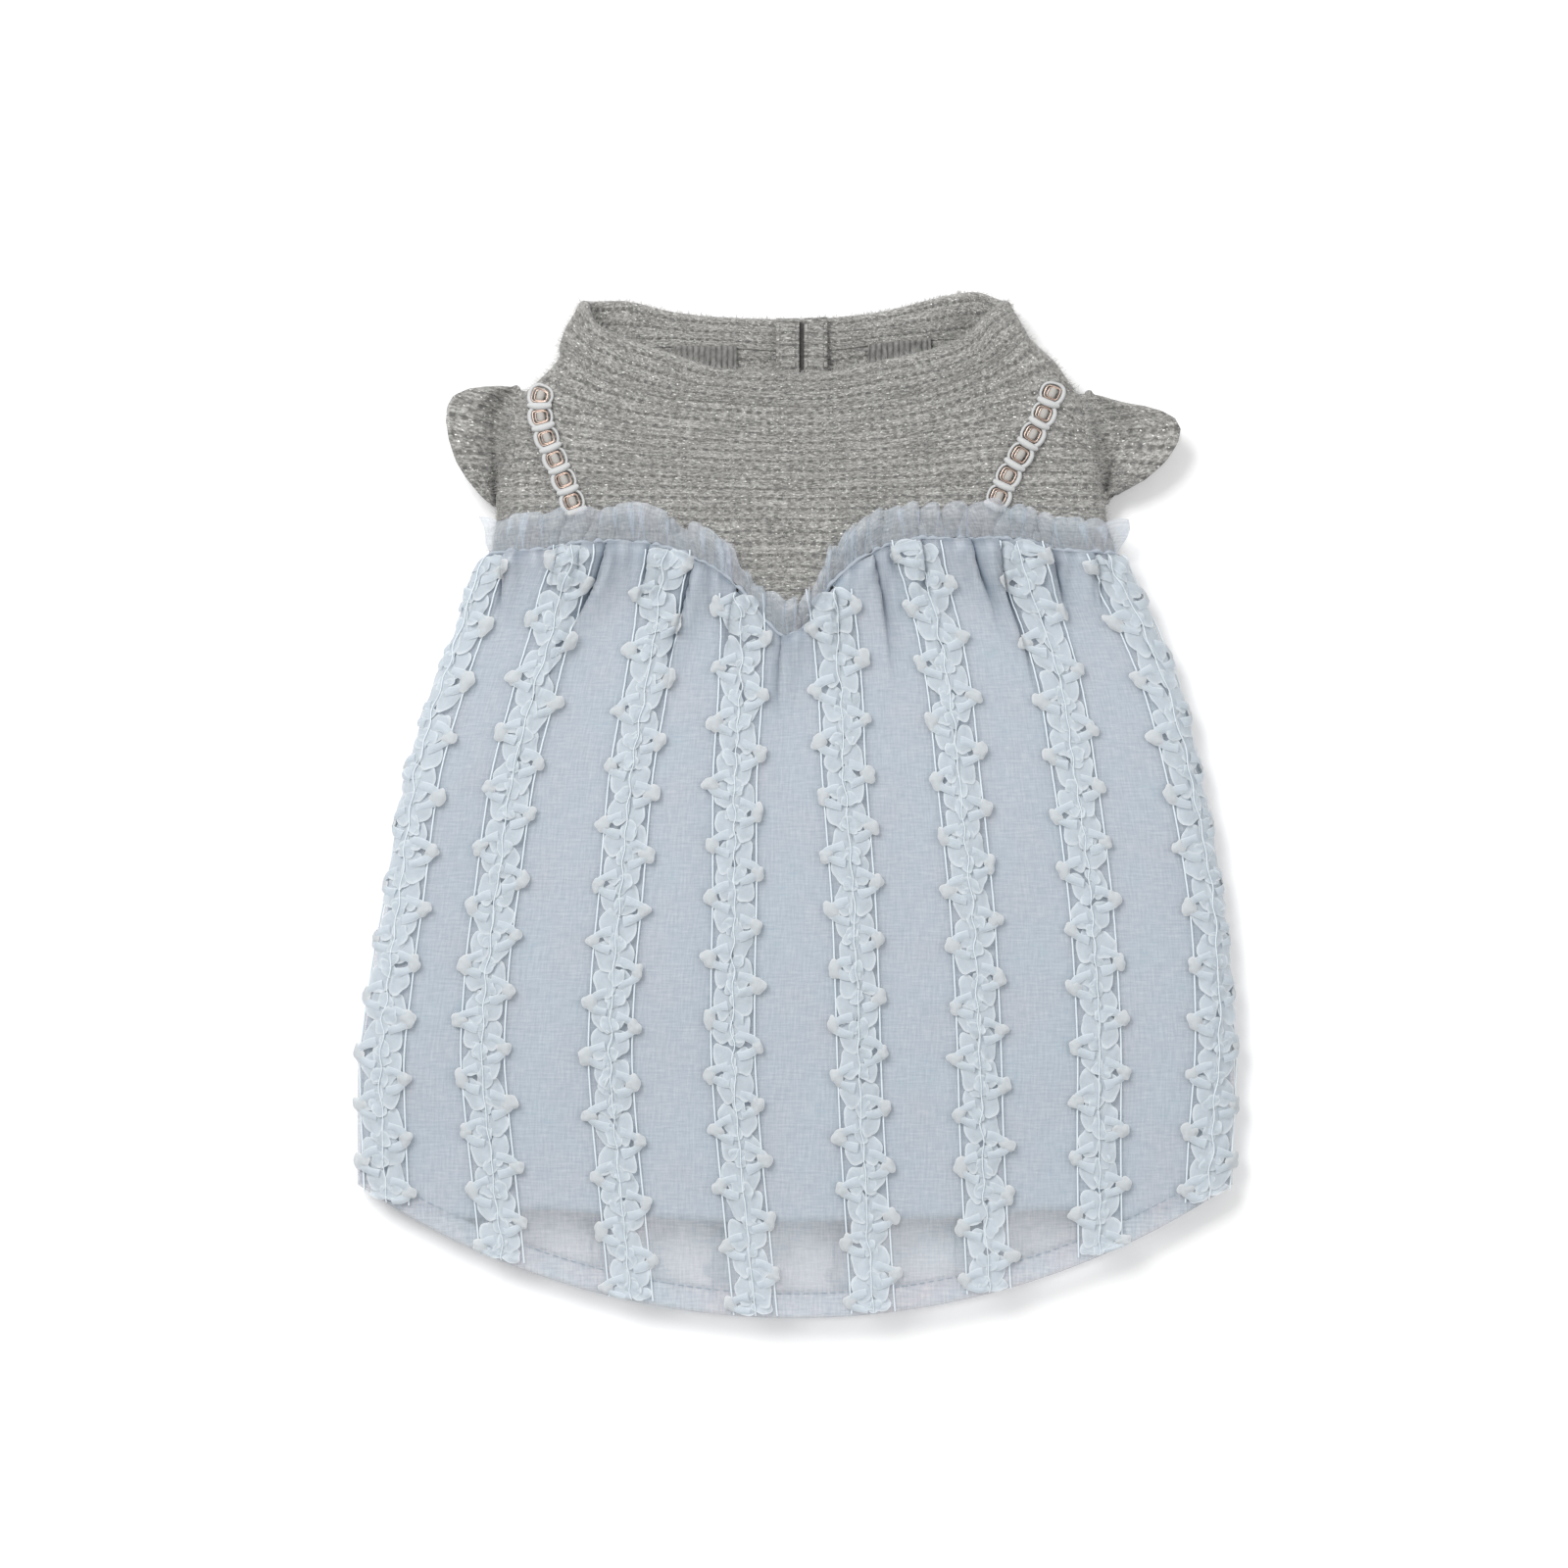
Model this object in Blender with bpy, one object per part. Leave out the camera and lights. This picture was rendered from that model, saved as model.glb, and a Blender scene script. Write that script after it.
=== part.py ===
"""Small dog dress, lying flat on its belly side as it is laid out for a photograph.

A heather-grey knit top with a stand collar and two short sleeves carries a light blue chiffon
skirt over a lining. The skirt hangs from a sweetheart seam, with a gathered frill above it and
two woven braid straps running up to the shoulders. Raised ribbon bands run down the chiffon.

+X is the wearer's right as it lies, +Y points from the hem to the collar, +Z is up, and the
origin is on the surface below the middle of the dress. Every cloth tube is worked out from one
body surface, and each layer lies a set distance outside or inside it.
"""

import math
from bisect import bisect_right
from functools import lru_cache

import bmesh
import bpy
from mathutils import Vector

# Widths and lengths of the laid-out dress, in metres
NECK_HALF = 0.0589
CHEST_HALF = 0.0837
SKIRT_HALF = 0.1202
TOP_LENGTH = 0.0729
SKIRT_LENGTH = 0.1742
HEM_DROP = 0.0365
LEAN = 0.0030

# Heights of the soft tube as it lies
LOFT = 0.0090
SIDE_FOLD = 0.0065
UPPER_ROUND = 0.0110
NECK_UNDER = 0.0010

# Cloth thicknesses and the gap between touching layers
KNIT = 0.0018
COLLAR_DOUBLING = 0.0008
CHIFFON = 0.0010
LINING = 0.0010
HEM_EXTRA = 0.0005
GAP = 0.00035
LINING_GAP = 0.00050
BAND_GAP = 0.00070

# Seams and trims
SWEETHEART_DEPTH = 0.0270
SEAM_ALLOWANCE = 0.0040
LINING_DROP = 0.0115
HEM_WIDTH = 0.0068
FRILL_HEIGHT = 0.0097
FRILL_RIPPLE = 0.0012
FRILL_PITCH = 0.0062
GATHER_HEIGHT = 0.0022
GATHER_WIDTH = 0.0050
BAND_HALF = 0.0062
BAND_PETAL = 0.0026
BAND_THICK = 0.0014
BAND_BUMP = 0.0011
BAND_PAST_FOLD = 0.0010
PETAL_PITCH = 0.0157
BACK_BAND_THICK = 0.0010
STRAP_WIDTH = 0.0062
STRAP_THICK = 0.0013
STRAP_LOOPS = 7
LOOP_ROWS = 3

# Sleeves, closure and inner patches
ARMHOLE_LENGTH = 0.0305
ARMHOLE_HEIGHT = 0.0078
SLEEVE_REACH = 0.0190
SLEEVE_OPENING = 0.0104
SLEEVE_WALL = 0.0015
PLACKET_WIDTH = 0.0062
PLACKET_LENGTH = 0.0520
PLACKET_THICK = 0.0010
PLACKET_X = 0.0019
CLOSURE_SLOT = 0.0016
TAPE_WIDTH = 0.0100
TAPE_THICK = 0.0006
PATCH_WIDTH = 0.0175
PATCH_HEIGHT = 0.0080
PATCH_THICK = 0.0007

# Places that follow from those sizes
LENGTH = TOP_LENGTH + SKIRT_LENGTH + HEM_DROP
TOP_Y = LENGTH / 2
WAIST_Y = TOP_Y - TOP_LENGTH
CORNER_Y = WAIST_Y - SKIRT_LENGTH
SKIRT_UNDER = BACK_BAND_THICK + GAP + CHIFFON + LINING_GAP

# Outline of the top: down is a share of TOP_LENGTH, width runs from the neck (0) to the chest
# (1), lean, loft and fold are shares of LEAN, LOFT and SIDE_FOLD, under from neck to skirt.
TOP_SECTIONS = (
    # down, width, lean, loft, fold, under
    (0.000, -0.04, 0.0, 1.00, 1.45, 0.00),
    (0.056, 0.00, 0.0, 1.00, 1.42, 0.00),
    (0.130, 0.11, 0.0, 1.02, 1.38, 0.05),
    (0.204, 0.25, 0.4, 1.05, 1.30, 0.10),
    (0.278, 0.41, 1.0, 1.05, 1.20, 0.15),
    (0.352, 0.60, 0.8, 1.02, 1.10, 0.20),
    (0.426, 0.80, 0.5, 1.00, 1.02, 0.25),
    (0.500, 0.93, 0.5, 1.00, 1.00, 0.30),
    (0.611, 1.00, 0.5, 1.00, 1.00, 0.45),
    (0.833, 1.02, 0.6, 0.96, 1.02, 0.85),
    (0.970, 1.09, 0.7, 0.95, 1.06, 1.00),
)
# Outline of the skirt: down is a share of SKIRT_LENGTH, width runs from the chest to SKIRT_HALF.
SKIRT_SECTIONS = (
    # down, width, lean, loft, fold, under
    (0.000, 0.07, 0.8, 0.95, 1.08, 1.0),
    (0.054, 0.19, 0.8, 0.95, 1.08, 1.0),
    (0.132, 0.35, 1.1, 0.95, 1.05, 1.0),
    (0.209, 0.49, 1.1, 0.95, 1.02, 1.0),
    (0.364, 0.69, 0.8, 0.95, 1.00, 1.0),
    (0.519, 0.82, 0.8, 0.90, 0.98, 1.0),
    (0.674, 0.93, 0.5, 0.85, 0.95, 1.0),
    (0.829, 1.00, 0.1, 0.75, 0.90, 1.0),
    (0.953, 1.00, 0.0, 0.66, 0.88, 1.0),
    (1.000, 1.00, 0.0, 0.65, 0.86, 1.0),
    (1.215, 1.00, 0.0, 0.60, 0.86, 1.0),
)
# Edges across the dress: across is a share of the half width, down a share of TOP_LENGTH.
COLLAR_FRONT_EDGE = (
    # across, down
    (-1.00, 0.041),
    (-0.89, 0.130),
    (-0.78, 0.174),
    (-0.55, 0.244),
    (-0.32, 0.304),
    (0.00, 0.320),
    (0.36, 0.263),
    (0.62, 0.211),
    (0.76, 0.163),
    (0.87, 0.100),
    (1.00, 0.041),
)
COLLAR_BACK_EDGE = (
    # across, down
    (-1.00, 0.041),
    (-0.84, 0.033),
    (-0.55, 0.078),
    (-0.33, 0.096),
    (0.00, 0.104),
    (0.32, 0.085),
    (0.51, 0.056),
    (0.72, 0.015),
    (0.86, 0.000),
    (1.00, 0.041),
)
NECK_FRONT_SEAM = (
    # across, down
    (-1.00, 0.230),
    (-0.75, 0.333),
    (-0.41, 0.407),
    (0.00, 0.433),
    (0.36, 0.396),
    (0.68, 0.296),
    (1.00, 0.160),
)
NECK_BACK_SEAM = (
    # across, down
    (-1.00, 0.230),
    (-0.50, 0.200),
    (0.00, 0.218),
    (0.50, 0.180),
    (1.00, 0.160),
)
# The sweetheart seam: rise is a share of SWEETHEART_DEPTH above the bottom of the V.
SWEETHEART_SEAM = (
    # across, rise
    (-1.00, 0.85),
    (-0.84, 0.89),
    (-0.73, 0.95),
    (-0.58, 0.97),
    (-0.48, 0.94),
    (-0.37, 0.83),
    (-0.26, 0.66),
    (-0.18, 0.44),
    (-0.12, 0.17),
    (-0.06, 0.00),
    (0.00, 0.12),
    (0.08, 0.52),
    (0.19, 0.81),
    (0.28, 0.94),
    (0.40, 1.00),
    (0.60, 1.00),
    (0.71, 0.98),
    (0.83, 0.88),
    (1.00, 0.85),
)
# Gather folds below the seam: width and height are shares of GATHER_WIDTH and GATHER_HEIGHT,
# reach a share of SKIRT_LENGTH.
GATHERS = (
    # across, width, height, reach
    (-0.87, 0.8, 0.6, 0.16),
    (-0.58, 1.2, 1.0, 0.30),
    (-0.308, 0.9, 0.9, 0.42),
    (0.24, 0.9, 0.6, 0.20),
    (0.49, 0.8, 1.0, 0.26),
    (0.59, 0.8, 0.7, 0.20),
    (0.81, 1.1, 0.9, 0.28),
)
# Ribbon bands down the front: across at the seam, half way and at the hem.
FRONT_BANDS = (
    # across at seam, middle, hem
    (-0.985, -0.965, -0.935),
    (-0.725, -0.740, -0.670),
    (-0.430, -0.440, -0.375),
    (-0.185, -0.160, -0.090),
    (0.075, 0.128, 0.180),
    (0.370, 0.405, 0.445),
    (0.680, 0.690, 0.700),
    (0.950, 0.975, 0.945),
)
BACK_BANDS = (-0.70, -0.42, -0.14, 0.14, 0.42, 0.70)
# Straps, from the frill to the shoulder: places across in equal steps, and the end's share of
# TOP_LENGTH down from the collar's top.
STRAP_ROUTES = {
    # side: across at five places, end down
    "left": ((-0.735, -0.775, -0.820, -0.875, -0.945), 0.365),
    "right": ((0.630, 0.680, 0.745, 0.825, 0.935), 0.355),
}
# Sleeves: the armhole's middle is a share of TOP_LENGTH down from the collar's top, reach is a
# share of SLEEVE_REACH, and the tip hangs this share of ARMHOLE_LENGTH below the armhole's top.
SLEEVES = {
    # side, armhole down, reach, tip drop
    "left": (-1, 0.595, 0.73, 0.04),
    "right": (1, 0.600, 1.10, 0.24),
}

# Stations across the upper and the lower sheet, closer together where the side fold turns
EDGE_STATIONS = (0.92, 0.96, 0.985, 0.997)
UPPER_STATIONS = 14
LOWER_STATIONS = 6
# Rows down the skirt, closer together where the gathers are
SKIRT_ROWS = (0.0, 0.025, 0.06, 0.11, 0.18, 0.28, 0.40, 0.54, 0.68, 0.82, 0.955, 1.0)
LINING_ROWS = (0.0, 0.05, 0.12, 0.22, 0.38, 0.54, 0.75, 1.0)
BODICE_ROWS = (0.0, 0.12, 0.25, 0.38, 0.54, 0.70, 0.84, 0.92, 1.0)
# Extra stations that draw the point of the sweetheart
POINT_STATIONS = (-0.12, -0.06, 0.0, 0.06)
COLLAR_ROWS = (0.0, 0.5, 1.0)

# Finishes: sRGB-like base colour, roughness, metallic
FINISHES = {
    "knit": ((0.32, 0.31, 0.30), 0.85, 0.0),
    "chiffon": ((0.52, 0.62, 0.72), 0.70, 0.0),
    "lining": ((0.44, 0.50, 0.58), 0.75, 0.0),
    "ribbon": ((0.60, 0.70, 0.78), 0.65, 0.0),
    "braid": ((0.66, 0.66, 0.65), 0.60, 0.0),
    "tape": ((0.09, 0.08, 0.08), 0.90, 0.0),
}


def smooth_curve(points):
    """A smooth function through (place, value) points that never overshoots between them."""
    xs = [p[0] for p in points]
    ys = [p[1] for p in points]
    steps = [(ys[i + 1] - ys[i]) / (xs[i + 1] - xs[i]) for i in range(len(xs) - 1)]
    slopes = [steps[0]]
    for before, after in zip(steps, steps[1:]):
        product = before * after
        slopes.append(2 * product / (before + after) if product > 0 else 0.0)
    slopes.append(steps[-1])

    def value(x):
        x = min(max(x, xs[0]), xs[-1])
        i = min(bisect_right(xs, x) - 1, len(xs) - 2)
        span = xs[i + 1] - xs[i]
        t = (x - xs[i]) / span
        from_here = (1 + 2 * t) * (1 - t) ** 2 * ys[i] + t * (1 - t) ** 2 * span * slopes[i]
        from_next = t * t * (3 - 2 * t) * ys[i + 1] + t * t * (t - 1) * span * slopes[i + 1]
        return from_here + from_next

    return value


def smooth_step(low, high, x):
    t = min(max((x - low) / (high - low), 0.0), 1.0)
    return t * t * (3 - 2 * t)


# The body surface


def outline_rows():
    """Rows of (y, half width, middle x, loft, side fold height, under height), hem first."""
    rows = []
    for down, width, lean, loft, fold, under in TOP_SECTIONS:
        half = NECK_HALF + (CHEST_HALF - NECK_HALF) * width
        rows.append((TOP_Y - TOP_LENGTH * down, half, lean, loft, fold, under))
    for down, width, lean, loft, fold, under in SKIRT_SECTIONS:
        half = CHEST_HALF + (SKIRT_HALF - CHEST_HALF) * width
        rows.append((WAIST_Y - SKIRT_LENGTH * down, half, lean, loft, fold, under))
    return sorted(
        (
            y,
            half,
            LEAN * lean,
            LOFT * loft,
            SIDE_FOLD * fold,
            NECK_UNDER + (SKIRT_UNDER - NECK_UNDER) * under,
        )
        for y, half, lean, loft, fold, under in rows
    )


OUTLINE = outline_rows()
HALF_WIDTH, MIDDLE_X, LOFT_AT, FOLD_AT, UNDER_AT = (
    smooth_curve([(row[0], row[column]) for row in OUTLINE]) for column in range(1, 6)
)


def quarter_round(distance, radius):
    """0 at the side fold, rising as a quarter circle to 1 at the given distance from it."""
    share = min(max(distance / radius, 0.0), 1.0)
    return math.sqrt(1 - (1 - share) ** 2)


def upper_z(across, y):
    edge = quarter_round(HALF_WIDTH(y) * (1 - abs(across)), UPPER_ROUND)
    return FOLD_AT(y) + LOFT_AT(y) * (0.62 * edge + 0.38 * (1 - across * across))


def lower_z(across, y):
    drop = FOLD_AT(y) - UNDER_AT(y)
    return FOLD_AT(y) - drop * quarter_round(HALF_WIDTH(y) * (1 - abs(across)), 1.3 * drop)


def surface_point(across, y, upper=True):
    z = upper_z(across, y) if upper else lower_z(across, y)
    return Vector((MIDDLE_X(y) + HALF_WIDTH(y) * across, y, z))


def surface_normal(across, y, upper=True):
    """The outward normal in the plane across the dress."""
    if abs(across) == 1:
        return Vector((across, 0, 0))
    step = 0.1 * (1 - abs(across))
    run = surface_point(across + step, y, upper) - surface_point(across - step, y, upper)
    normal = Vector((-run.z, 0, run.x)).normalized()
    return normal if upper else -normal


def off_surface(across, y, out, upper=True):
    """The point this far outside the body surface."""
    return surface_point(across, y, upper) + out * surface_normal(across, y, upper)


def sheet_place(place):
    """A place as (across, upper): 1.1 lies under the dress, 0.1 in from the right side fold."""
    if abs(place) <= 1:
        return place, True
    return math.copysign(2 - abs(place), place), False


@lru_cache(maxsize=None)
def girth(y):
    """The distance along the cloth from its middle to each place, and the place at each one."""
    near_fold = [0.15 * (k / 12) ** 2 for k in range(-12, 13)]
    fold = [1 + math.copysign(d, k) for k, d in zip(range(-12, 13), near_fold)]
    places = sorted({*(0.05 * i for i in range(-16, 17)), *fold, *(-f for f in fold)})
    points = [surface_point(across, y, upper) for across, upper in map(sheet_place, places)]
    lengths = [0.0]
    for a, b in zip(points, points[1:]):
        lengths.append(lengths[-1] + (b - a).length)
    return smooth_curve(list(zip(places, lengths))), smooth_curve(list(zip(lengths, places)))


def slide(place, y, distance):
    """The place this far along the cloth, no further than just past a side fold."""
    length_at, place_at = girth(y)
    low, high = length_at(-1.0) - BAND_PAST_FOLD, length_at(1.0) + BAND_PAST_FOLD
    return place_at(min(max(length_at(place) + distance, low), high))


# Lines across the dress

COLLAR_FRONT = smooth_curve(COLLAR_FRONT_EDGE)
COLLAR_BACK = smooth_curve(COLLAR_BACK_EDGE)
NECK_FRONT = smooth_curve(NECK_FRONT_SEAM)
NECK_BACK = smooth_curve(NECK_BACK_SEAM)
SWEETHEART = smooth_curve(SWEETHEART_SEAM)


def down_top(share):
    return TOP_Y - TOP_LENGTH * share


def seam_y(across, upper):
    """The skirt's top seam: a sweetheart line on the upper sheet, straight on the lower."""
    if not upper:
        return WAIST_Y
    return WAIST_Y + SWEETHEART_DEPTH * (SWEETHEART(across) - SWEETHEART_SEAM[0][1])


def arc_drop(across, drop):
    """A circular arc's drop, 0 at the side folds and the full drop in the middle."""
    radius = (SKIRT_HALF**2 + drop**2) / (2 * drop)
    middle = math.sqrt(radius**2 - (SKIRT_HALF * across) ** 2)
    return middle - (radius - drop)


def hem_y(across):
    return CORNER_Y - arc_drop(across, HEM_DROP)


def lining_hem_y(across):
    return CORNER_Y + GAP - arc_drop(across, LINING_DROP)


def neck_seam_y(across, upper):
    return down_top(NECK_FRONT(across) if upper else NECK_BACK(across))


def collar_edge_y(across, upper):
    return down_top(COLLAR_FRONT(across) if upper else COLLAR_BACK(across))


def stations(folds=(), points=()):
    """(across, upper) pairs once round the tube: the upper sheet left to right, then back.

    folds are (middle, reach) pairs, each with a station at its crest and at its two feet.
    """
    inner = [EDGE_STATIONS[0] * (2 * i / UPPER_STATIONS - 1) for i in range(UPPER_STATIONS + 1)]
    near = [*folds, *((point, 0.03) for point in points)]
    clear = [a for a in inner if all(abs(a - middle) > reach for middle, reach in near)]
    added = [middle + side * reach for middle, reach in folds for side in (-1, 0, 1)]
    added += points
    edges = [side * a for side in (-1, 1) for a in (*EDGE_STATIONS[1:], 1.0)]
    upper = sorted({round(a, 4) for a in (*clear, *added, *edges)})
    below = [0.90 * (1 - 2 * i / LOWER_STATIONS) for i in range(LOWER_STATIONS + 1)]
    below_edges = [side * a for side in (-1, 1) for a in EDGE_STATIONS[1:]]
    lower = sorted({round(a, 4) for a in (*below, *below_edges)}, reverse=True)
    return [(a, True) for a in upper] + [(a, False) for a in lower]


# Meshes


def solid_between(outer, inner, wrap, holes=()):
    """A closed mesh between two grids of points, with a wall round every edge and hole."""
    rows, columns = len(outer), len(outer[0])
    across = columns if wrap else columns - 1
    mesh = bmesh.new()
    out = [[mesh.verts.new(p) for p in row] for row in outer]
    ins = [[mesh.verts.new(p) for p in row] for row in inner]
    kept = {(r, c) for r in range(rows - 1) for c in range(across)} - set(holes)
    for r, c in kept:
        d = (c + 1) % columns
        mesh.faces.new((out[r][c], out[r][d], out[r + 1][d], out[r + 1][c]))
        mesh.faces.new((ins[r][c], ins[r + 1][c], ins[r + 1][d], ins[r][d]))
        west = (c - 1) % across if wrap else c - 1
        east = (c + 1) % across if wrap else c + 1
        walls = (
            ((r - 1, c), (r, c), (r, d)),
            ((r + 1, c), (r + 1, d), (r + 1, c)),
            ((r, west), (r + 1, c), (r, c)),
            ((r, east), (r, d), (r + 1, d)),
        )
        for neighbour, start, end in walls:
            if neighbour not in kept:
                a, b = out[start[0]][start[1]], out[end[0]][end[1]]
                c2, d2 = ins[end[0]][end[1]], ins[start[0]][start[1]]
                mesh.faces.new((b, a, d2, c2))
    loose = [v for v in mesh.verts if not v.link_faces]
    bmesh.ops.delete(mesh, geom=loose, context="VERTS")
    bmesh.ops.recalc_face_normals(mesh, faces=mesh.faces)
    return mesh


def add_node(name, mesh, finish):
    data = bpy.data.meshes.new(name)
    mesh.to_mesh(data)
    mesh.free()
    data.shade_smooth()
    data.set_sharp_from_angle(angle=math.radians(40))
    data.materials.append(MATERIALS[finish])
    node = bpy.data.objects.new(name, data)
    bpy.context.scene.collection.objects.link(node)
    return node


def make_materials():
    made = {}
    for name, (colour, roughness, metallic) in FINISHES.items():
        material = bpy.data.materials.new(name)
        material.use_nodes = True
        shader = material.node_tree.nodes["Principled BSDF"]
        shader.inputs["Base Color"].default_value = (*colour, 1)
        shader.inputs["Roughness"].default_value = roughness
        shader.inputs["Metallic"].default_value = metallic
        made[name] = material
    return made


def tube(around, rows, top_y, bottom_y, outer, inner):
    """Two grids of a cloth tube between two lines across the dress, each off the body surface.

    outer and inner give the distance outside it from (across, share of the way down, upper).
    """
    grids = ([], [])
    for share in rows:
        for grid, offset in zip(grids, (outer, inner)):
            ring = []
            for across, upper in around:
                y = top_y(across, upper) + share * (bottom_y(across, upper) - top_y(across, upper))
                ring.append(off_surface(across, y, offset(across, share, upper), upper))
            grid.append(ring)
    return grids


# The knit top


def butt_y(across, upper):
    """Where the knit top ends below the skirt seam, and the lining takes over."""
    return seam_y(across, upper) - SEAM_ALLOWANCE


def add_collar():
    outer, inner = tube(
        stations(),
        COLLAR_ROWS,
        collar_edge_y,
        lambda a, u: neck_seam_y(a, u) + GAP,
        lambda a, share, u: COLLAR_DOUBLING,
        lambda a, share, u: -KNIT,
    )
    return add_node("collar", solid_between(outer, inner, wrap=True), "knit")


def armhole_place(side, down):
    """The armhole's middle in y and z."""
    y = down_top(down)
    return y, UNDER_AT(y) + KNIT + ARMHOLE_HEIGHT / 2 - SLEEVE_WALL


def armhole_cutter(name, side, down):
    """A short elliptical bar through the side fold."""
    middle_y, middle_z = armhole_place(side, down)
    half_length = ARMHOLE_LENGTH / 2 - SLEEVE_WALL - GAP
    half_height = ARMHOLE_HEIGHT / 2 - SLEEVE_WALL
    edge = MIDDLE_X(middle_y) + side * HALF_WIDTH(middle_y)
    mesh = bmesh.new()
    ends = []
    for reach in (-UPPER_ROUND, UPPER_ROUND):
        ring = []
        for i in range(16):
            turn = math.tau * i / 16
            y = middle_y + half_length * math.cos(turn)
            ring.append(mesh.verts.new((edge + reach, y, middle_z + half_height * math.sin(turn))))
        ends.append(ring)
    for i in range(16):
        j = (i + 1) % 16
        mesh.faces.new((ends[0][i], ends[0][j], ends[1][j], ends[1][i]))
    mesh.faces.new(ends[0])
    mesh.faces.new(ends[1][::-1])
    bmesh.ops.recalc_face_normals(mesh, faces=mesh.faces)
    cutter = add_node(name, mesh, "knit")
    cutter.hide_render = True
    cutter.display_type = "WIRE"
    return cutter


def add_bodice():
    outer, inner = tube(
        stations(points=POINT_STATIONS),
        BODICE_ROWS,
        neck_seam_y,
        butt_y,
        lambda a, share, u: 0.0,
        lambda a, share, u: -KNIT,
    )
    bodice = add_node("bodice", solid_between(outer, inner, wrap=True), "knit")
    for name, (side, down, _, _) in SLEEVES.items():
        cut = bodice.modifiers.new("armhole " + name, "BOOLEAN")
        cut.operation = "DIFFERENCE"
        cut.solver = "EXACT"
        cut.object = armhole_cutter("cutter armhole " + name, side, down)
    return bodice


def side_reach(y, z):
    """How far the body surface reaches out from its middle at this height, per unit side."""
    inside, outside = 0.5, 1.0
    height = upper_z if z > FOLD_AT(y) else lower_z
    above = z > FOLD_AT(y)
    for _ in range(30):
        middle = (inside + outside) / 2
        covered = height(middle, y) > z if above else height(middle, y) < z
        inside, outside = (middle, outside) if covered else (inside, middle)
    return HALF_WIDTH(y) * inside


def sleeve_ring(name, share, shrink):
    """One ring of a sleeve: share runs from the armhole (0) to the hem (1)."""
    side, down, reach, tip_drop = SLEEVES[name]
    middle_y, middle_z = armhole_place(side, down)
    half_length = ARMHOLE_LENGTH / 2 - shrink
    half_height = ARMHOLE_HEIGHT / 2 + SLEEVE_WALL - shrink
    opening = SLEEVE_OPENING / 2 - shrink
    edge = MIDDLE_X(middle_y) + side * HALF_WIDTH(middle_y)
    top_x = edge + side * SLEEVE_REACH * reach
    top = Vector((top_x, middle_y + ARMHOLE_LENGTH * (0.5 - tip_drop)))
    low = Vector((edge + side * 0.0030, middle_y - ARMHOLE_LENGTH / 2 - 0.0010))
    along = (top - low).normalized()
    hem_middle, hem_half = (top + low) / 2, along * ((top - low).length / 2 - shrink)
    ring = []
    for i in range(20):
        turn = math.tau * i / 20
        y = middle_y + half_length * math.cos(turn)
        z = middle_z + half_height * math.sin(turn)
        z = max(z, UNDER_AT(y) + GAP + shrink)
        root = Vector((MIDDLE_X(y) + side * (side_reach(y, z) + 2 * GAP), y, z))
        flat = hem_middle + hem_half * math.cos(turn)
        end = Vector((flat.x, flat.y, SLEEVE_OPENING / 2 + 0.0006 + opening * math.sin(turn)))
        bulge = math.sin(math.pi * share) * ARMHOLE_LENGTH * 0.06 * (1 - tip_drop)
        point = root.lerp(end, share)
        point.y += bulge * max(math.cos(turn), 0.0)
        ring.append(point)
    return ring


def add_sleeve(name):
    shares = (0.0, 0.3, 0.65, 1.0)
    outer = [sleeve_ring(name, share, 0.0) for share in shares]
    inner = [sleeve_ring(name, share, SLEEVE_WALL) for share in shares]
    return add_node("sleeve_" + name, solid_between(outer, inner, wrap=True), "knit")


# The closure inside the back of the neck


def back_strip(name, left, right, top_y, bottom_y, rise, thick, finish):
    """A flat strip on the inside of the lower sheet."""
    rows, columns = 5, 3
    grids = ([], [])
    for r in range(rows):
        for grid, height in zip(grids, (rise + thick, rise)):
            line = []
            for c in range(columns):
                x = left + (right - left) * c / (columns - 1)
                y = top_y(x) + (bottom_y - top_y(x)) * r / (rows - 1)
                across = (x - MIDDLE_X(y)) / HALF_WIDTH(y)
                line.append(Vector((x, y, lower_z(across, y) + KNIT + height)))
            grid.append(line)
    return add_node(name, solid_between(*grids, wrap=False), finish)


def collar_back_y(x):
    y = down_top(COLLAR_BACK(0.0))
    return down_top(COLLAR_BACK((x - MIDDLE_X(y)) / HALF_WIDTH(y)))


def add_closure():
    end_y = collar_back_y(PLACKET_X) - PLACKET_LENGTH
    tape_left = PLACKET_X - TAPE_WIDTH / 2
    back_strip(
        "closure_tape",
        tape_left,
        tape_left + TAPE_WIDTH,
        lambda x: collar_back_y(x) - GAP * 4,
        end_y + GAP,
        GAP,
        TAPE_THICK,
        "tape",
    )
    rise = GAP + TAPE_THICK + GAP
    for name, side in (("placket_left", -1), ("placket_right", 1)):
        near = PLACKET_X + side * CLOSURE_SLOT / 2
        left, right = sorted((near, near + side * PLACKET_WIDTH))
        back_strip(name, left, right, collar_back_y, end_y, rise, PLACKET_THICK, "knit")


def add_patches():
    """Two rib-knit facings below the collar's back seam, seen through the neck."""
    for name, middle, tilt in (("rib_patch_left", -0.40, 0.0), ("rib_patch_right", 0.44, 0.3)):
        seam = neck_seam_y(middle, False)
        x = MIDDLE_X(seam) + HALF_WIDTH(seam) * middle
        back_strip(
            name,
            x - PATCH_WIDTH / 2,
            x + PATCH_WIDTH / 2,
            lambda at: seam - GAP + tilt * (at - x) / 3,
            seam - PATCH_HEIGHT,
            GAP,
            PATCH_THICK,
            "knit",
        )


# The skirt


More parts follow.
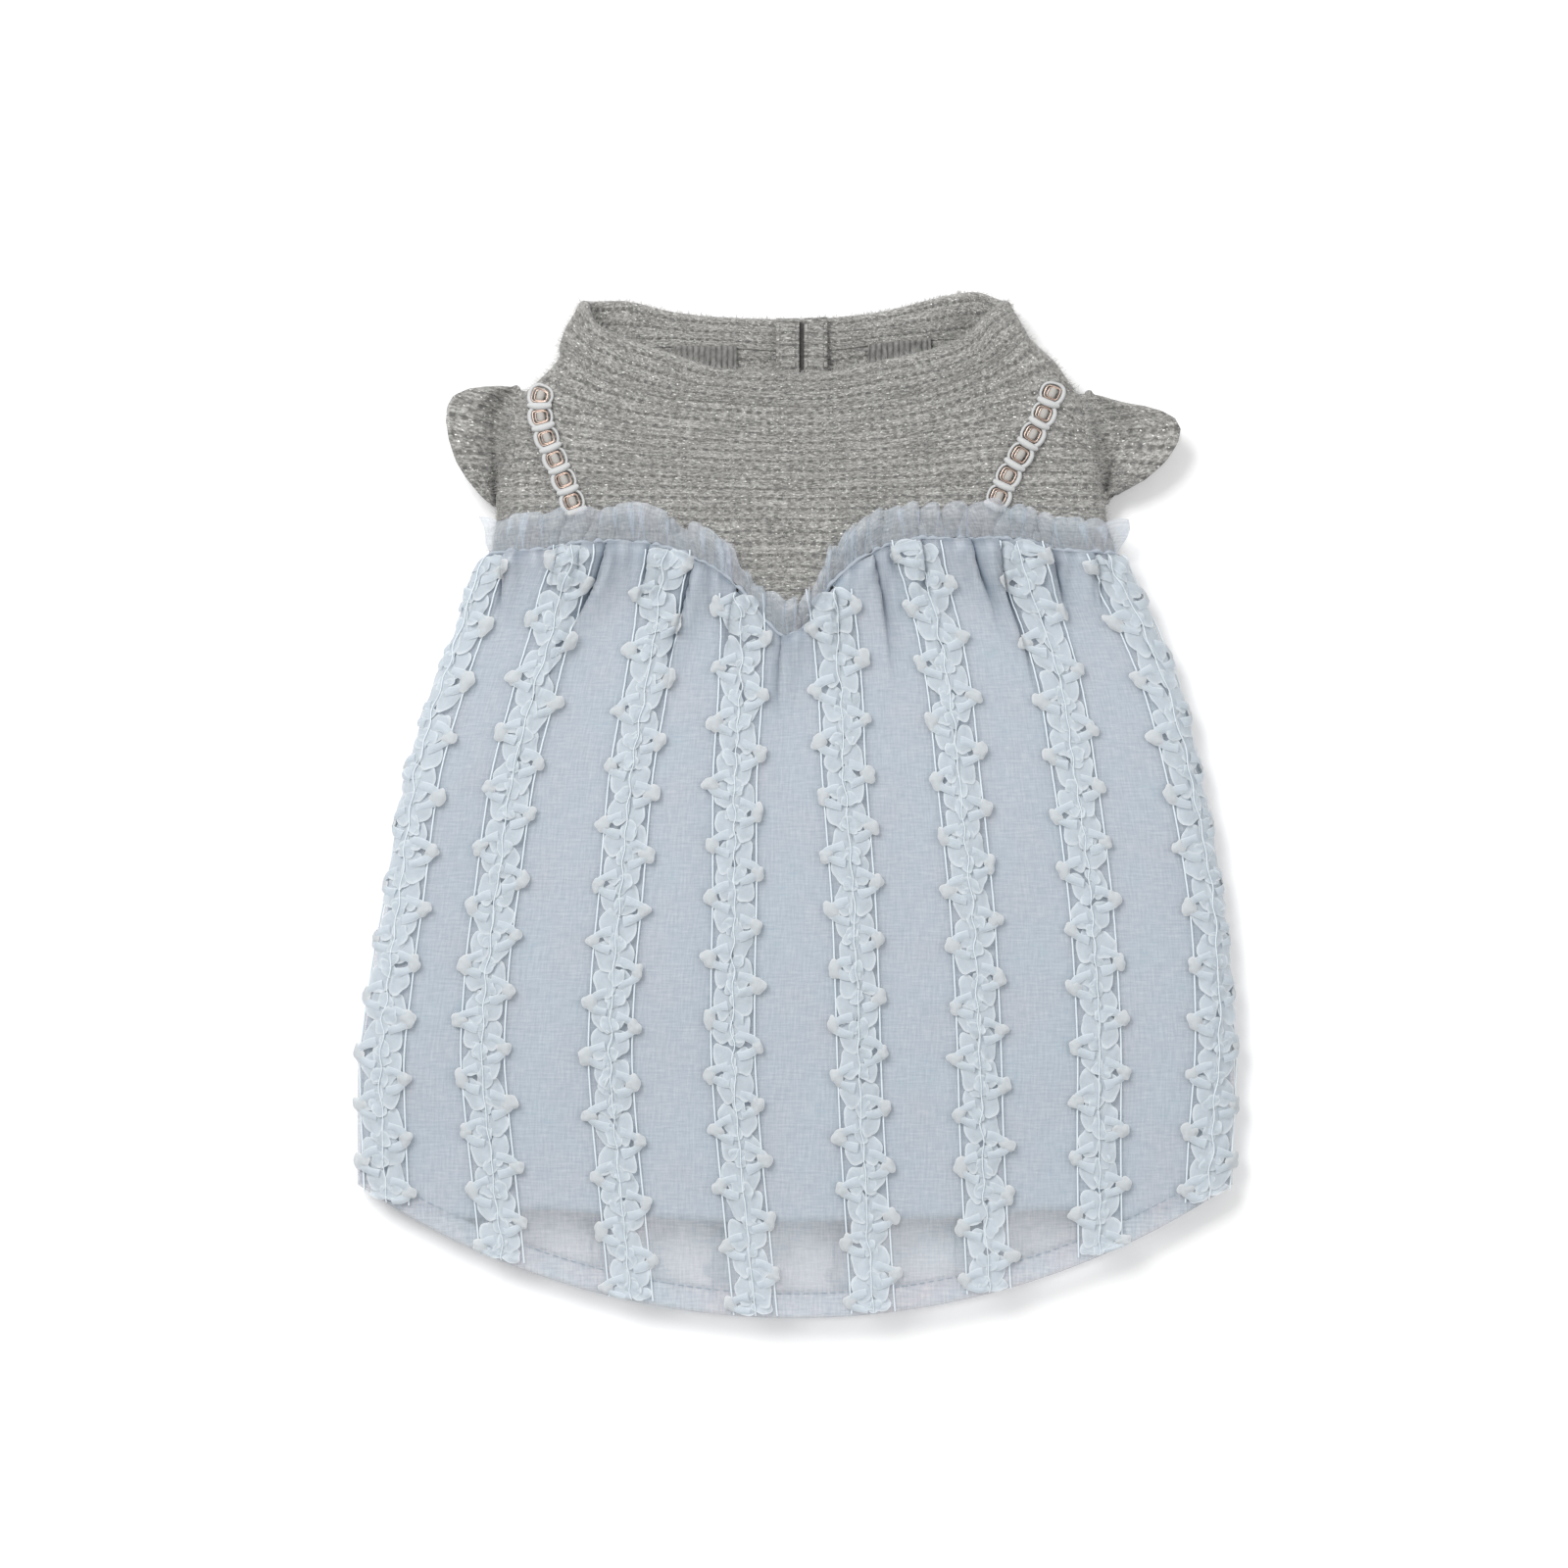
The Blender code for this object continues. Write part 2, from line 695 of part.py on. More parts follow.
def gather_swell(across, share, upper):
    """How far the chiffon stands off where a gather fold runs down from the seam."""
    if not upper:
        return 0.0
    total = 0.0
    for middle, width, height, reach in GATHERS:
        spread = gather_reach(width)
        near = max(0.0, 1 - abs(across - middle) / spread)
        start = smooth_step(0.0, 0.025, share)
        fade = 1 - smooth_step(0.0, reach, share)
        total += GATHER_HEIGHT * height * near * start * fade
    return total


def gather_reach(width):
    """A gather's half width as a share of the waist's half width."""
    return GATHER_WIDTH * width / HALF_WIDTH(WAIST_Y)


FOLDS = [(middle, gather_reach(width)) for middle, width, _, _ in GATHERS]
SKIRT_AROUND = stations(FOLDS, POINT_STATIONS)


def skirt_face(across, share, upper):
    """How far outside the body surface the chiffon's outer face lies at one of its rows."""
    hem = HEM_EXTRA if upper and share > SKIRT_ROWS[-3] else 0.0
    return LINING_GAP + CHIFFON + hem + gather_swell(across, share, upper)


def over_skirt(across, y, upper):
    """The same at any height: the cloth runs straight from row to row."""
    top = seam_y(across, upper)
    share = min(max((top - y) / (top - hem_y(across)), 0.0), 0.9999)
    i = bisect_right(SKIRT_ROWS, share) - 1
    low, high = SKIRT_ROWS[i], SKIRT_ROWS[i + 1]
    part_way = (share - low) / (high - low)
    below, above = skirt_face(across, low, upper), skirt_face(across, high, upper)
    return below + (above - below) * part_way


def add_skirt():
    outer, inner = tube(
        SKIRT_AROUND,
        SKIRT_ROWS,
        seam_y,
        lambda a, u: hem_y(a),
        skirt_face,
        lambda a, share, u: LINING_GAP + gather_swell(a, share, u),
    )
    return add_node("skirt", solid_between(outer, inner, wrap=True), "chiffon")


def add_lining():
    outer, inner = tube(
        stations(points=POINT_STATIONS),
        LINING_ROWS,
        lambda a, u: butt_y(a, u) - GAP,
        lambda a, u: lining_hem_y(a),
        lambda a, share, u: 0.0,
        lambda a, share, u: -LINING,
    )
    return add_node("skirt_lining", solid_between(outer, inner, wrap=True), "lining")


def cut_seam_y(across):
    """The seam as the skirt's top edge runs, straight from station to station."""
    places = [a for a, upper in SKIRT_AROUND if upper]
    i = min(max(bisect_right(places, across) - 1, 0), len(places) - 2)
    share = (across - places[i]) / (places[i + 1] - places[i])
    below, above = seam_y(places[i], True), seam_y(places[i + 1], True)
    return below + (above - below) * share


def frill_foot_y(across):
    return cut_seam_y(across) + 2 * GAP


def frill_line():
    """Places across the frill's seam, with the ripple's turns at each."""
    fine = [-0.997 + 1.994 * i / 800 for i in range(801)]
    points = [surface_point(a, seam_y(a, True)) for a in fine]
    lengths = [0.0]
    for a, b in zip(points, points[1:]):
        lengths.append(lengths[-1] + (b - a).length)
    ripples = round(lengths[-1] / FRILL_PITCH)
    place = smooth_curve(list(zip(lengths, fine)))
    steps = 3 * ripples
    return [(place(lengths[-1] * i / steps), i / 3) for i in range(steps + 1)]


def add_frill():
    line = frill_line()
    grids = ([], [])
    for share in (0.0, 0.5, 1.0):
        for grid, thick in zip(grids, (CHIFFON, 0.0)):
            row = []
            for across, turns in line:
                wave = 0.5 + 0.5 * math.cos(math.tau * turns)
                y = frill_foot_y(across) + FRILL_HEIGHT * share * (0.94 + 0.06 * wave)
                ripple = FRILL_RIPPLE * wave * (0.15 + 0.85 * share)
                row.append(off_surface(across, y, GAP + thick + ripple))
            grid.append(row)
    return add_node("frill", solid_between(*grids, wrap=False), "chiffon")


# Ribbon bands


def front_band_grid(places, columns, thick_share):
    """One face of a band: petals reach out on its left and right side by turns.

    A band along a side fold has them on its inner side only.
    """
    seam_place, middle_place, hem_place = places
    place_at = smooth_curve([(0.0, seam_place), (0.5, middle_place), (1.0, hem_place)])
    top_y = cut_seam_y(seam_place) - 2 * GAP
    bottom_y = hem_y(hem_place) + 2 * GAP
    rows = 2 * round((top_y - bottom_y) / PETAL_PITCH)
    grid = []
    for r in range(rows + 1):
        share = r / rows
        y = top_y + (bottom_y - top_y) * share
        middle = place_at(share)
        left_petal = r % 2 or middle < -0.9
        right_petal = not r % 2 or middle > 0.9
        left = slide(middle, y, -BAND_HALF + (0.0 if left_petal else BAND_PETAL))
        right = slide(middle, y, BAND_HALF - (0.0 if right_petal else BAND_PETAL))
        bump = BAND_BUMP * (1.0 if r % 2 else 0.7)
        width = girth(y)[0](right) - girth(y)[0](left)
        line = []
        for c in range(columns + 1):
            side = 2 * c / columns - 1
            across, upper = sheet_place(slide(left, y, width * c / columns))
            along_seam = cut_seam_y(across) - cut_seam_y(seam_place) if upper else 0.0
            along_hem = hem_y(across) - hem_y(hem_place)
            at_y = y + along_seam * (1 - share) ** 6 + along_hem * share**6
            thick = BAND_THICK + bump * (1 - abs(side))
            out = over_skirt(across, at_y, upper) + BAND_GAP + thick_share * thick
            line.append(off_surface(across, at_y, out, upper))
        grid.append(line)
    return grid


def add_front_bands():
    for number, places in enumerate(FRONT_BANDS, start=1):
        columns = 6 if abs(places[0]) > 0.9 else 2
        outer = front_band_grid(places, columns, 1.0)
        inner = front_band_grid(places, columns, 0.0)
        add_node(f"band_front_{number}", solid_between(outer, inner, wrap=False), "ribbon")


def add_back_bands():
    """The same bands on the belly side, pressed flat between the skirt and the surface."""
    for number, across in enumerate(BACK_BANDS, start=1):
        top_y, bottom_y = WAIST_Y - BAND_PETAL, hem_y(across) + BAND_PETAL
        rows = max(2, round((top_y - bottom_y) / PETAL_PITCH))
        grids = ([], [])
        for r in range(rows + 1):
            y = top_y + (bottom_y - top_y) * r / rows
            middle = MIDDLE_X(y) + HALF_WIDTH(y) * across
            wide = BAND_HALF - (BAND_PETAL if r % 2 else 0.0)
            for grid, z in zip(grids, (BACK_BAND_THICK, 0.0)):
                grid.append([Vector((middle + side * wide, y, z)) for side in (-1, 1)])
        add_node(f"band_back_{number}", solid_between(*grids, wrap=False), "ribbon")


# Straps


def strap_frame(name, share):
    """The strap's middle on the top's upper sheet, and the direction across the strap."""
    places, end_down = STRAP_ROUTES[name]
    across_at = smooth_curve([(i / (len(places) - 1), a) for i, a in enumerate(places)])
    start_y = frill_foot_y(places[0]) + FRILL_HEIGHT + STRAP_WIDTH / 4 + GAP
    end_y = down_top(end_down)

    def middle(at):
        return surface_point(across_at(at), start_y + (end_y - start_y) * at)

    run = middle(min(share + 0.02, 1.0)) - middle(max(share - 0.02, 0.0))
    return middle(share), Vector((run.y, -run.x, 0)).normalized()


def strap_point(middle, sideways, distance, out):
    """A point over the top's knit, this far to the side of the strap's middle."""
    y = middle.y + sideways.y * distance
    across = (middle.x + sideways.x * distance - MIDDLE_X(y)) / HALF_WIDTH(y)
    return off_surface(min(max(across, -0.997), 0.997), y, out)


def add_strap(name):
    """A braid of round loops: each loop has two small gaps beside its core."""
    rows = STRAP_LOOPS * LOOP_ROWS
    stripes = (-1.0, -0.66, -0.30, 0.30, 0.66, 1.0)
    grids = ([], [])
    for r in range(rows + 1):
        phase = math.pi * (r % LOOP_ROWS) / LOOP_ROWS
        half = STRAP_WIDTH / 2 * (0.72 + 0.28 * math.sin(phase))
        middle, sideways = strap_frame(name, r / rows)
        for grid, out in zip(grids, (GAP + STRAP_THICK, GAP)):
            grid.append([strap_point(middle, sideways, half * s, out) for s in stripes])
    holes = [(loop * LOOP_ROWS + 1, c) for loop in range(STRAP_LOOPS) for c in (1, 3)]
    mesh = solid_between(*grids, wrap=False, holes=holes)
    return add_node("strap_" + name, mesh, "braid")


for old in list(bpy.data.objects):
    bpy.data.objects.remove(old)
MATERIALS = make_materials()
add_collar()
add_bodice()
for sleeve in SLEEVES:
    add_sleeve(sleeve)
add_closure()
add_patches()
add_lining()
add_skirt()
add_frill()
for strap in STRAP_ROUTES:
    add_strap(strap)
add_front_bands()
add_back_bands()
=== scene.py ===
"""A small dog dress laid flat, belly side down, on a pale surface.

Grey knit top with a stand collar and cap sleeves, light blue chiffon skirt over a lining, ribbon
bands, a gathered frill and braid straps. Lengths are in metres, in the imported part's own frame.
"""

import math

import bpy
import numpy as np
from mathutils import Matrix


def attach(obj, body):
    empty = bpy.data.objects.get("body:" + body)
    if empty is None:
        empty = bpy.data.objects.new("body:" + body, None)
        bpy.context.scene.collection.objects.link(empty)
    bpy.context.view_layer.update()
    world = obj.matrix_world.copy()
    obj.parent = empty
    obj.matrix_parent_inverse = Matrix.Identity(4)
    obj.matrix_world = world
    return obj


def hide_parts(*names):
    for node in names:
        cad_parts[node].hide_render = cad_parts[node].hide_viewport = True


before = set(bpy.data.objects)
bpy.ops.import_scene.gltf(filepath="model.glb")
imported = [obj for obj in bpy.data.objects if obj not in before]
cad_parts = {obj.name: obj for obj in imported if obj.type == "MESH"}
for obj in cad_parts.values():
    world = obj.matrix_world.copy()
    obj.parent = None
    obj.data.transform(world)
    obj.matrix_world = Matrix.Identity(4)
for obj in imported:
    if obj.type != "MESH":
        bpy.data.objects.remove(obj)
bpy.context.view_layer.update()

# Camera
# The dress is photographed from straight above with a long lens, so its outline is hardly
# drawn in by perspective.
MM = 0.001
PHOTO_WIDTH = 432 * MM
CAMERA_HEIGHT = 1.6
DRESS_LEVEL = 12 * MM
SENSOR = 36
VIEW_MIDDLE = (-3.0 * MM, 5.4 * MM)

stage = bpy.context.scene.collection
camera_data = bpy.data.cameras.new("camera")
camera_data.sensor_width = SENSOR
camera_data.lens = SENSOR * (CAMERA_HEIGHT - DRESS_LEVEL) / PHOTO_WIDTH
camera_data.clip_end = 10
camera = bpy.data.objects.new("camera", camera_data)
camera.location = (*VIEW_MIDDLE, CAMERA_HEIGHT)
stage.objects.link(camera)
bpy.context.scene.camera = camera

# Bodice
# The top of the dress is a tube of heather-grey sweater knit, cut low in front for the sweetheart
# seam. It lies with its belly side down, so its side folds stand a few millimetres high, and all
# the other cloth is laid off this same tube.
NECK_HALF = 58.9 * MM
CHEST_HALF = 83.7 * MM
SKIRT_HALF = 120.2 * MM
TOP_LENGTH = 72.9 * MM
SKIRT_LENGTH = 174.2 * MM
HEM_DROP = 36.5 * MM
LEAN = 3.0 * MM
LOFT = 9.0 * MM
SIDE_FOLD = 6.5 * MM
UPPER_ROUND = 11.0 * MM
UNDER_ROUND = 1.3
SIDE_CROWN = 0.62
NECK_UNDER = 1.0 * MM
SKIRT_UNDER = 2.85 * MM
TOP_Y = (TOP_LENGTH + SKIRT_LENGTH + HEM_DROP) / 2
WAIST_Y = TOP_Y - TOP_LENGTH
CORNER_Y = WAIST_Y - SKIRT_LENGTH
KNIT = 1.8 * MM
SWEETHEART_DEPTH = 27.0 * MM
SEAM_ALLOWANCE = 4.0 * MM
# The same sections as the part's: down is a share of the top's or the skirt's length, width runs
# from neck to chest or from chest to skirt, and the rest are shares of LEAN, LOFT and SIDE_FOLD.
TOP_SECTIONS = (
    # down, width, lean, loft, fold, under
    (0.000, -0.04, 0.0, 1.00, 1.45, 0.00),
    (0.056, 0.00, 0.0, 1.00, 1.42, 0.00),
    (0.130, 0.11, 0.0, 1.02, 1.38, 0.05),
    (0.204, 0.25, 0.4, 1.05, 1.30, 0.10),
    (0.278, 0.41, 1.0, 1.05, 1.20, 0.15),
    (0.352, 0.60, 0.8, 1.02, 1.10, 0.20),
    (0.426, 0.80, 0.5, 1.00, 1.02, 0.25),
    (0.500, 0.93, 0.5, 1.00, 1.00, 0.30),
    (0.611, 1.00, 0.5, 1.00, 1.00, 0.45),
    (0.833, 1.02, 0.6, 0.96, 1.02, 0.85),
    (0.970, 1.09, 0.7, 0.95, 1.06, 1.00),
)
SKIRT_SECTIONS = (
    # down, width, lean, loft, fold, under
    (0.000, 0.07, 0.8, 0.95, 1.08, 1.0),
    (0.054, 0.19, 0.8, 0.95, 1.08, 1.0),
    (0.132, 0.35, 1.1, 0.95, 1.05, 1.0),
    (0.209, 0.49, 1.1, 0.95, 1.02, 1.0),
    (0.364, 0.69, 0.8, 0.95, 1.00, 1.0),
    (0.519, 0.82, 0.8, 0.90, 0.98, 1.0),
    (0.674, 0.93, 0.5, 0.85, 0.95, 1.0),
    (0.829, 1.00, 0.1, 0.75, 0.90, 1.0),
    (0.953, 1.00, 0.0, 0.66, 0.88, 1.0),
    (1.000, 1.00, 0.0, 0.65, 0.86, 1.0),
    (1.215, 1.00, 0.0, 0.60, 0.86, 1.0),
)
SWEETHEART_SEAM = (
    # across, rise as a share of SWEETHEART_DEPTH
    (-1.00, 0.85), (-0.84, 0.89), (-0.73, 0.95), (-0.58, 0.97), (-0.48, 0.94), (-0.37, 0.83),
    (-0.26, 0.66), (-0.18, 0.44), (-0.12, 0.17), (-0.06, 0.00), (0.00, 0.12), (0.08, 0.52),
    (0.19, 0.81), (0.28, 0.94), (0.40, 1.00), (0.60, 1.00), (0.71, 0.98), (0.83, 0.88),
    (1.00, 0.85),
)
NECK_FRONT_SEAM = (
    # across, share of TOP_LENGTH down
    (-1.00, 0.230), (-0.75, 0.333), (-0.41, 0.407), (0.00, 0.433), (0.36, 0.396), (0.68, 0.296),
    (1.00, 0.160),
)
NECK_BACK_SEAM = (
    # across, share of TOP_LENGTH down
    (-1.00, 0.230), (-0.50, 0.200), (0.00, 0.218), (0.50, 0.180), (1.00, 0.160),
)


def curve_through(points):
    """A smooth function through (place, value) points that doesn't overshoot between them."""
    xs, ys = np.array(points, float).T
    steps = np.diff(ys) / np.diff(xs)
    inner = [2 * a * b / (a + b) if a * b > 0 else 0.0 for a, b in zip(steps, steps[1:])]
    slopes = np.array([steps[0], *inner, steps[-1]])

    def value(x):
        x = np.clip(x, xs[0], xs[-1])
        i = np.clip(np.searchsorted(xs, x, "right") - 1, 0, len(xs) - 2)
        span = xs[i + 1] - xs[i]
        t = (x - xs[i]) / span
        here = (1 + 2 * t) * (1 - t) ** 2 * ys[i] + t * (1 - t) ** 2 * span * slopes[i]
        ahead = t * t * (3 - 2 * t) * ys[i + 1] + t * t * (t - 1) * span * slopes[i + 1]
        return here + ahead

    return value


def ease(low, high, x):
    t = np.clip((x - low) / (high - low), 0, 1)
    return t * t * (3 - 2 * t)


sections = []
for table, start, length, thin, wide in (
    (TOP_SECTIONS, TOP_Y, TOP_LENGTH, NECK_HALF, CHEST_HALF),
    (SKIRT_SECTIONS, WAIST_Y, SKIRT_LENGTH, CHEST_HALF, SKIRT_HALF),
):
    for down, width, lean, loft, fold, under in table:
        lowest = NECK_UNDER + (SKIRT_UNDER - NECK_UNDER) * under
        half = thin + (wide - thin) * width
        y = start - length * down
        sections.append((y, half, LEAN * lean, LOFT * loft, SIDE_FOLD * fold, lowest))
sections.sort()
half_width, middle_x, loft_at, fold_at, under_at = (
    curve_through([(row[0], row[column]) for row in sections]) for column in range(1, 6)
)
sweetheart = curve_through(SWEETHEART_SEAM)
neck_front = curve_through(NECK_FRONT_SEAM)
neck_back = curve_through(NECK_BACK_SEAM)


def sheet_of(place):
    """A place round the tube as its share across and whether it is on the upper sheet.

    Places run from -1 to 1 over the top, left to right, and on from 1 to 3 underneath.
    """
    upper = np.abs(place) <= 1
    return np.where(upper, place, 2 * np.sign(place) - place), upper


def laid(across, y, upper):
    """The x and z of the laid tube itself: round at its side folds and bowed a little between."""
    edge = half_width(y) * (1 - np.abs(across))
    drop = fold_at(y) - under_at(y)
    over = np.clip(edge / UPPER_ROUND, 0, 1)
    below = np.clip(edge / (UNDER_ROUND * drop), 0, 1)
    crown = SIDE_CROWN * np.sqrt(1 - (1 - over) ** 2) + (1 - SIDE_CROWN) * (1 - across * across)
    high = fold_at(y) + loft_at(y) * crown
    low = fold_at(y) - drop * np.sqrt(1 - (1 - below) ** 2)
    return middle_x(y) + half_width(y) * across, np.where(upper, high, low)


def cloth(place, y, out=0.0):
    """Points this far outside the laid tube, at places round it."""
    place, y, out = np.broadcast_arrays(
        np.asarray(place, float), np.asarray(y, float), np.asarray(out, float)
    )
    across, upper = sheet_of(place)
    x, z = laid(across, y, upper)
    step = 0.1 * np.maximum(1 - np.abs(across), 1e-9)
    x0, z0 = laid(across - step, y, upper)
    x1, z1 = laid(across + step, y, upper)
    run_x, run_z = x1 - x0, z1 - z0
    size = np.hypot(run_x, run_z)
    facing = np.where(upper, 1.0, -1.0)
    at_fold = np.abs(across) > 0.99999
    normal_x = np.where(at_fold, np.sign(across), -run_z / size * facing)
    normal_z = np.where(at_fold, 0.0, run_x / size * facing)
    return np.stack([x + out * normal_x, y + 0 * x, z + out * normal_z], -1)


def ripple(x, y, size, seed):
    """Smooth irregular waves of about this wavelength, from -1 to 1."""
    rng = np.random.default_rng(seed)
    total = 0.0
    for _ in range(6):
        angle, phase = rng.uniform(0, math.tau, 2)
        rate = math.tau / size * rng.uniform(0.7, 1.4)
        total = total + np.sin(rate * (x * math.cos(angle) + y * math.sin(angle)) + phase)
    return total / 3.5


def seam_y(place):
    """The skirt's top seam: a sweetheart line in front, straight on the belly side."""
    across, upper = sheet_of(place)
    rise = np.where(upper, sweetheart(across) - SWEETHEART_SEAM[0][1], 0.0)
    return WAIST_Y + SWEETHEART_DEPTH * rise


def neck_seam_y(place):
    """The seam between the top and its collar."""
    across, upper = sheet_of(place)
    return TOP_Y - TOP_LENGTH * np.where(upper, neck_front(across), neck_back(across))


def tube_places(upper_count, lower_count):
    """Places once round the tube, closer together at the side folds."""
    over = np.sin(np.linspace(-1, 1, upper_count + 1) * math.pi / 2)
    below = 2 + np.sin(np.linspace(-1, 1, lower_count + 1) * math.pi / 2)
    return np.concatenate([over[:-1], below[:-1]])


def face_corners(uv):
    """Texture places at the four corners of every face of a grid."""
    return np.stack([uv[:-1, :-1], uv[1:, :-1], uv[1:, 1:], uv[:-1, 1:]], 2)


def grid_faces(rows, columns, closed):
    """The faces of a grid of points, rows running down and columns across."""
    index = np.arange(rows * columns).reshape(rows, columns)
    here = index if closed else index[:, :-1]
    right = np.roll(index, -1, axis=1) if closed else index[:, 1:]
    return np.stack([here[:-1], here[1:], right[1:], right[:-1]], -1)


def add_piece(name, points, faces, corners=None):
    """A smooth mesh object, with texture places where its face corners are given."""
    mesh = bpy.data.meshes.new(name)
    mesh.from_pydata(points.reshape(-1, 3).tolist(), [], faces)
    if corners is not None:
        mesh.uv_layers.new(name="cut").data.foreach_set("uv", corners.ravel())
    mesh.shade_smooth()
    piece = bpy.data.objects.new(name, mesh)
    stage.objects.link(piece)
    return piece


def add_sheet(name, points, uv, closed=False, keep=None):
    """A sheet of cloth through a grid of points.

    uv has one more column than a closed grid. keep leaves out faces where it is false.
    """
    faces = grid_faces(*points.shape[:2], closed)
    if keep is None:
        keep = np.ones(faces.shape[:2], bool)
    return add_piece(name, points, faces[keep].tolist(), face_corners(uv)[keep])


def thicken(piece, thickness, offset=-1):
    """Give a sheet its thickness, inward where offset is -1 and outward where it is 1."""
    wall = piece.modifiers.new("cloth thickness", "SOLIDIFY")
    wall.thickness = thickness
    wall.offset = offset
    wall.use_even_offset = False
    return wall


def linear(code, alpha=1.0):
    """An sRGB hex colour as linear values."""
    values = [int(code[i : i + 2], 16) / 255 for i in (1, 3, 5)]
    return (*(v / 12.92 if v <= 0.04045 else ((v + 0.055) / 1.055) ** 2.4 for v in values), alpha)


def add_node(material, kind, feeds=(), output=0, **settings):
    """Add a shader node and give one of its outputs.

    feeds are links or values by socket, and settings are the node's own properties.
    """
    tree = material.node_tree
    made = tree.nodes.new("ShaderNode" + kind)
    for name, value in settings.items():
        setattr(made, name, value)
    for socket, value in dict(feeds).items():
        if isinstance(value, bpy.types.NodeSocket):
            tree.links.new(value, made.inputs[socket])
        else:
            made.inputs[socket].default_value = value
    return made.outputs[output]


def new_material(name):
    """A material with no shader yet."""
    material = bpy.data.materials.new(name)
    material.use_nodes = True
    material.node_tree.nodes.remove(material.node_tree.nodes["Principled BSDF"])
    return material


def close_material(material, surface):
    """Give a material its surface."""
    target = material.node_tree.nodes["Material Output"].inputs["Surface"]
    material.node_tree.links.new(surface, target)
    return material


def wear(piece, material, slot, *nodes):
    """Dress a piece in its material, and put it in place of its CAD nodes."""
    piece.data.materials.clear()
    piece.data.materials.append(material)
    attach(piece, "root")
    if nodes:
        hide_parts(*nodes)
    return piece


# Sweater knit, a brushed wool blend with a metallic thread: matt and hairy, streaked along its
# rows, with rows of small dimples where stitches are tucked, painted darker as shade in their
# hollows, and here and there a near-white speck painted as the metallic thread's glint.
# Each size is the real one, along the row and down.
STITCH = (1.9 * MM, 0.62 * MM)
FIBRE = (0.75 * MM, 0.42 * MM)
MOTTLE = (14 * MM, 5 * MM)
PAINTED_GLINT = (1.2 * MM, 0.5 * MM)
DIMPLE_PITCH = (2.9 * MM, 3.25 * MM)
ROW_DRIFT = 7 * MM
DRIFT_REACH = 1.1 * MM


def sweater_knit(name, light, middle, dark):
    knit = new_material(name)
    cut = add_node(knit, "UVMap", uv_map="cut")
    feeds = {"Vector": cut, "Scale": 1 / ROW_DRIFT, "Detail": 2.0}
    drift = add_node(knit, "TexNoise", feeds, "Color")
    pull = add_node(knit, "VectorMath", {0: drift, 1: (-0.5, -0.5, 0)}, operation="ADD")
    shift = add_node(knit, "VectorMath", {0: pull, "Scale": DRIFT_REACH}, operation="SCALE")
    cut = add_node(knit, "VectorMath", {0: cut, 1: shift}, operation="ADD")
    grains = []
    for size, detail in ((STITCH, 3.0), (FIBRE, 2.0), (MOTTLE, 3.0), (PAINTED_GLINT, 1.0)):
        place = add_node(knit, "Mapping", {"Vector": cut, "Scale": (1 / size[0], 1 / size[1], 1)})
        feeds = {"Vector": place, "Scale": 1.0, "Detail": detail, "Roughness": 0.7}
        grains.append(add_node(knit, "TexNoise", feeds))
    stitch, fibre, mottle, glint_noise = grains
    # The dimples, in rows and spaced along them, fade out here and there; the bump sinks them and
    # the colour darkens in them as painted shade.
    feeds = {"Vector": cut, "Scale": (math.tau / DIMPLE_PITCH[0], math.tau / DIMPLE_PITCH[1], 1)}
    cells = add_node(knit, "SeparateXYZ", {0: add_node(knit, "Mapping", feeds)})
    dimple_shade = 1.0
    for value, low, high, start in (
        (add_node(knit, "Math", {0: cells.node.outputs[1]}, operation="COSINE"), 0.45, 0.98, 0.0),
        (add_node(knit, "Math", {0: cells}, operation="COSINE"), -0.5, 0.6, 0.35),
        (mottle, 0.36, 0.58, 0.45),
    ):
        feeds = {0: value, 1: low, 2: high, 3: start, 4: 1.0}
        part = add_node(knit, "MapRange", feeds, interpolation_type="SMOOTHSTEP")
        dimple_shade = add_node(knit, "Math", {0: part, 1: dimple_shade}, operation="MULTIPLY")
    # The mottle's weight is taken off first, so it doesn't brighten the mean.
    tone = -0.5 * 0.22
    for grain, weight in ((stitch, 0.62), (fibre, 0.38), (mottle, 0.22)):
        feeds = {0: grain, 1: weight, 2: tone}
        tone = add_node(knit, "Math", feeds, operation="MULTIPLY_ADD")
    yarn = add_node(knit, "ValToRGB", {"Fac": tone})
    ramp = yarn.node.color_ramp.elements
    ramp[0].position, ramp[0].color = 0.36, linear(dark)
    ramp[1].position, ramp[1].color = 0.64, linear(light)
    ramp.new(0.5).color = linear(middle)
    # Painted shade: the colour darkens toward the dark yarn in each dimple's hollow.
    shade = add_node(knit, "Math", {0: dimple_shade, 1: 0.74}, operation="MULTIPLY")
    mix = {0: shade, 6: yarn, 7: linear(dark)}
    body = add_node(knit, "Mix", mix, 2, data_type="RGBA")
    # Painted glint: near-white specks where the metallic thread would catch the light.
    feeds = {0: glint_noise, 1: 0.665, 2: 0.73}
    painted_glint = add_node(knit, "MapRange", feeds, interpolation_type="SMOOTHSTEP")
    mix = {0: painted_glint, 6: body, 7: linear("#ecece8")}
    colour = add_node(knit, "Mix", mix, 2, data_type="RGBA")
    raised = add_node(knit, "Math", {0: tone, 1: 1.4}, operation="MULTIPLY")
    height = add_node(knit, "Math", {0: raised, 1: dimple_shade}, operation="SUBTRACT")
    bump = add_node(knit, "Bump", {"Strength": 0.6, "Distance": 0.6 * MM, "Height": height})
    feeds = {
        "Base Color": colour,
        "Roughness": 0.9,
        "Sheen Weight": 0.2,
        "Sheen Roughness": 0.6,
        "Specular IOR Level": 0.2,
        "Normal": bump,
    }
    return close_material(knit, add_node(knit, "BsdfPrincipled", feeds))


heather_knit = sweater_knit("heather grey sweater knit", "#bcbbb7", "#888784", "#504f4d")

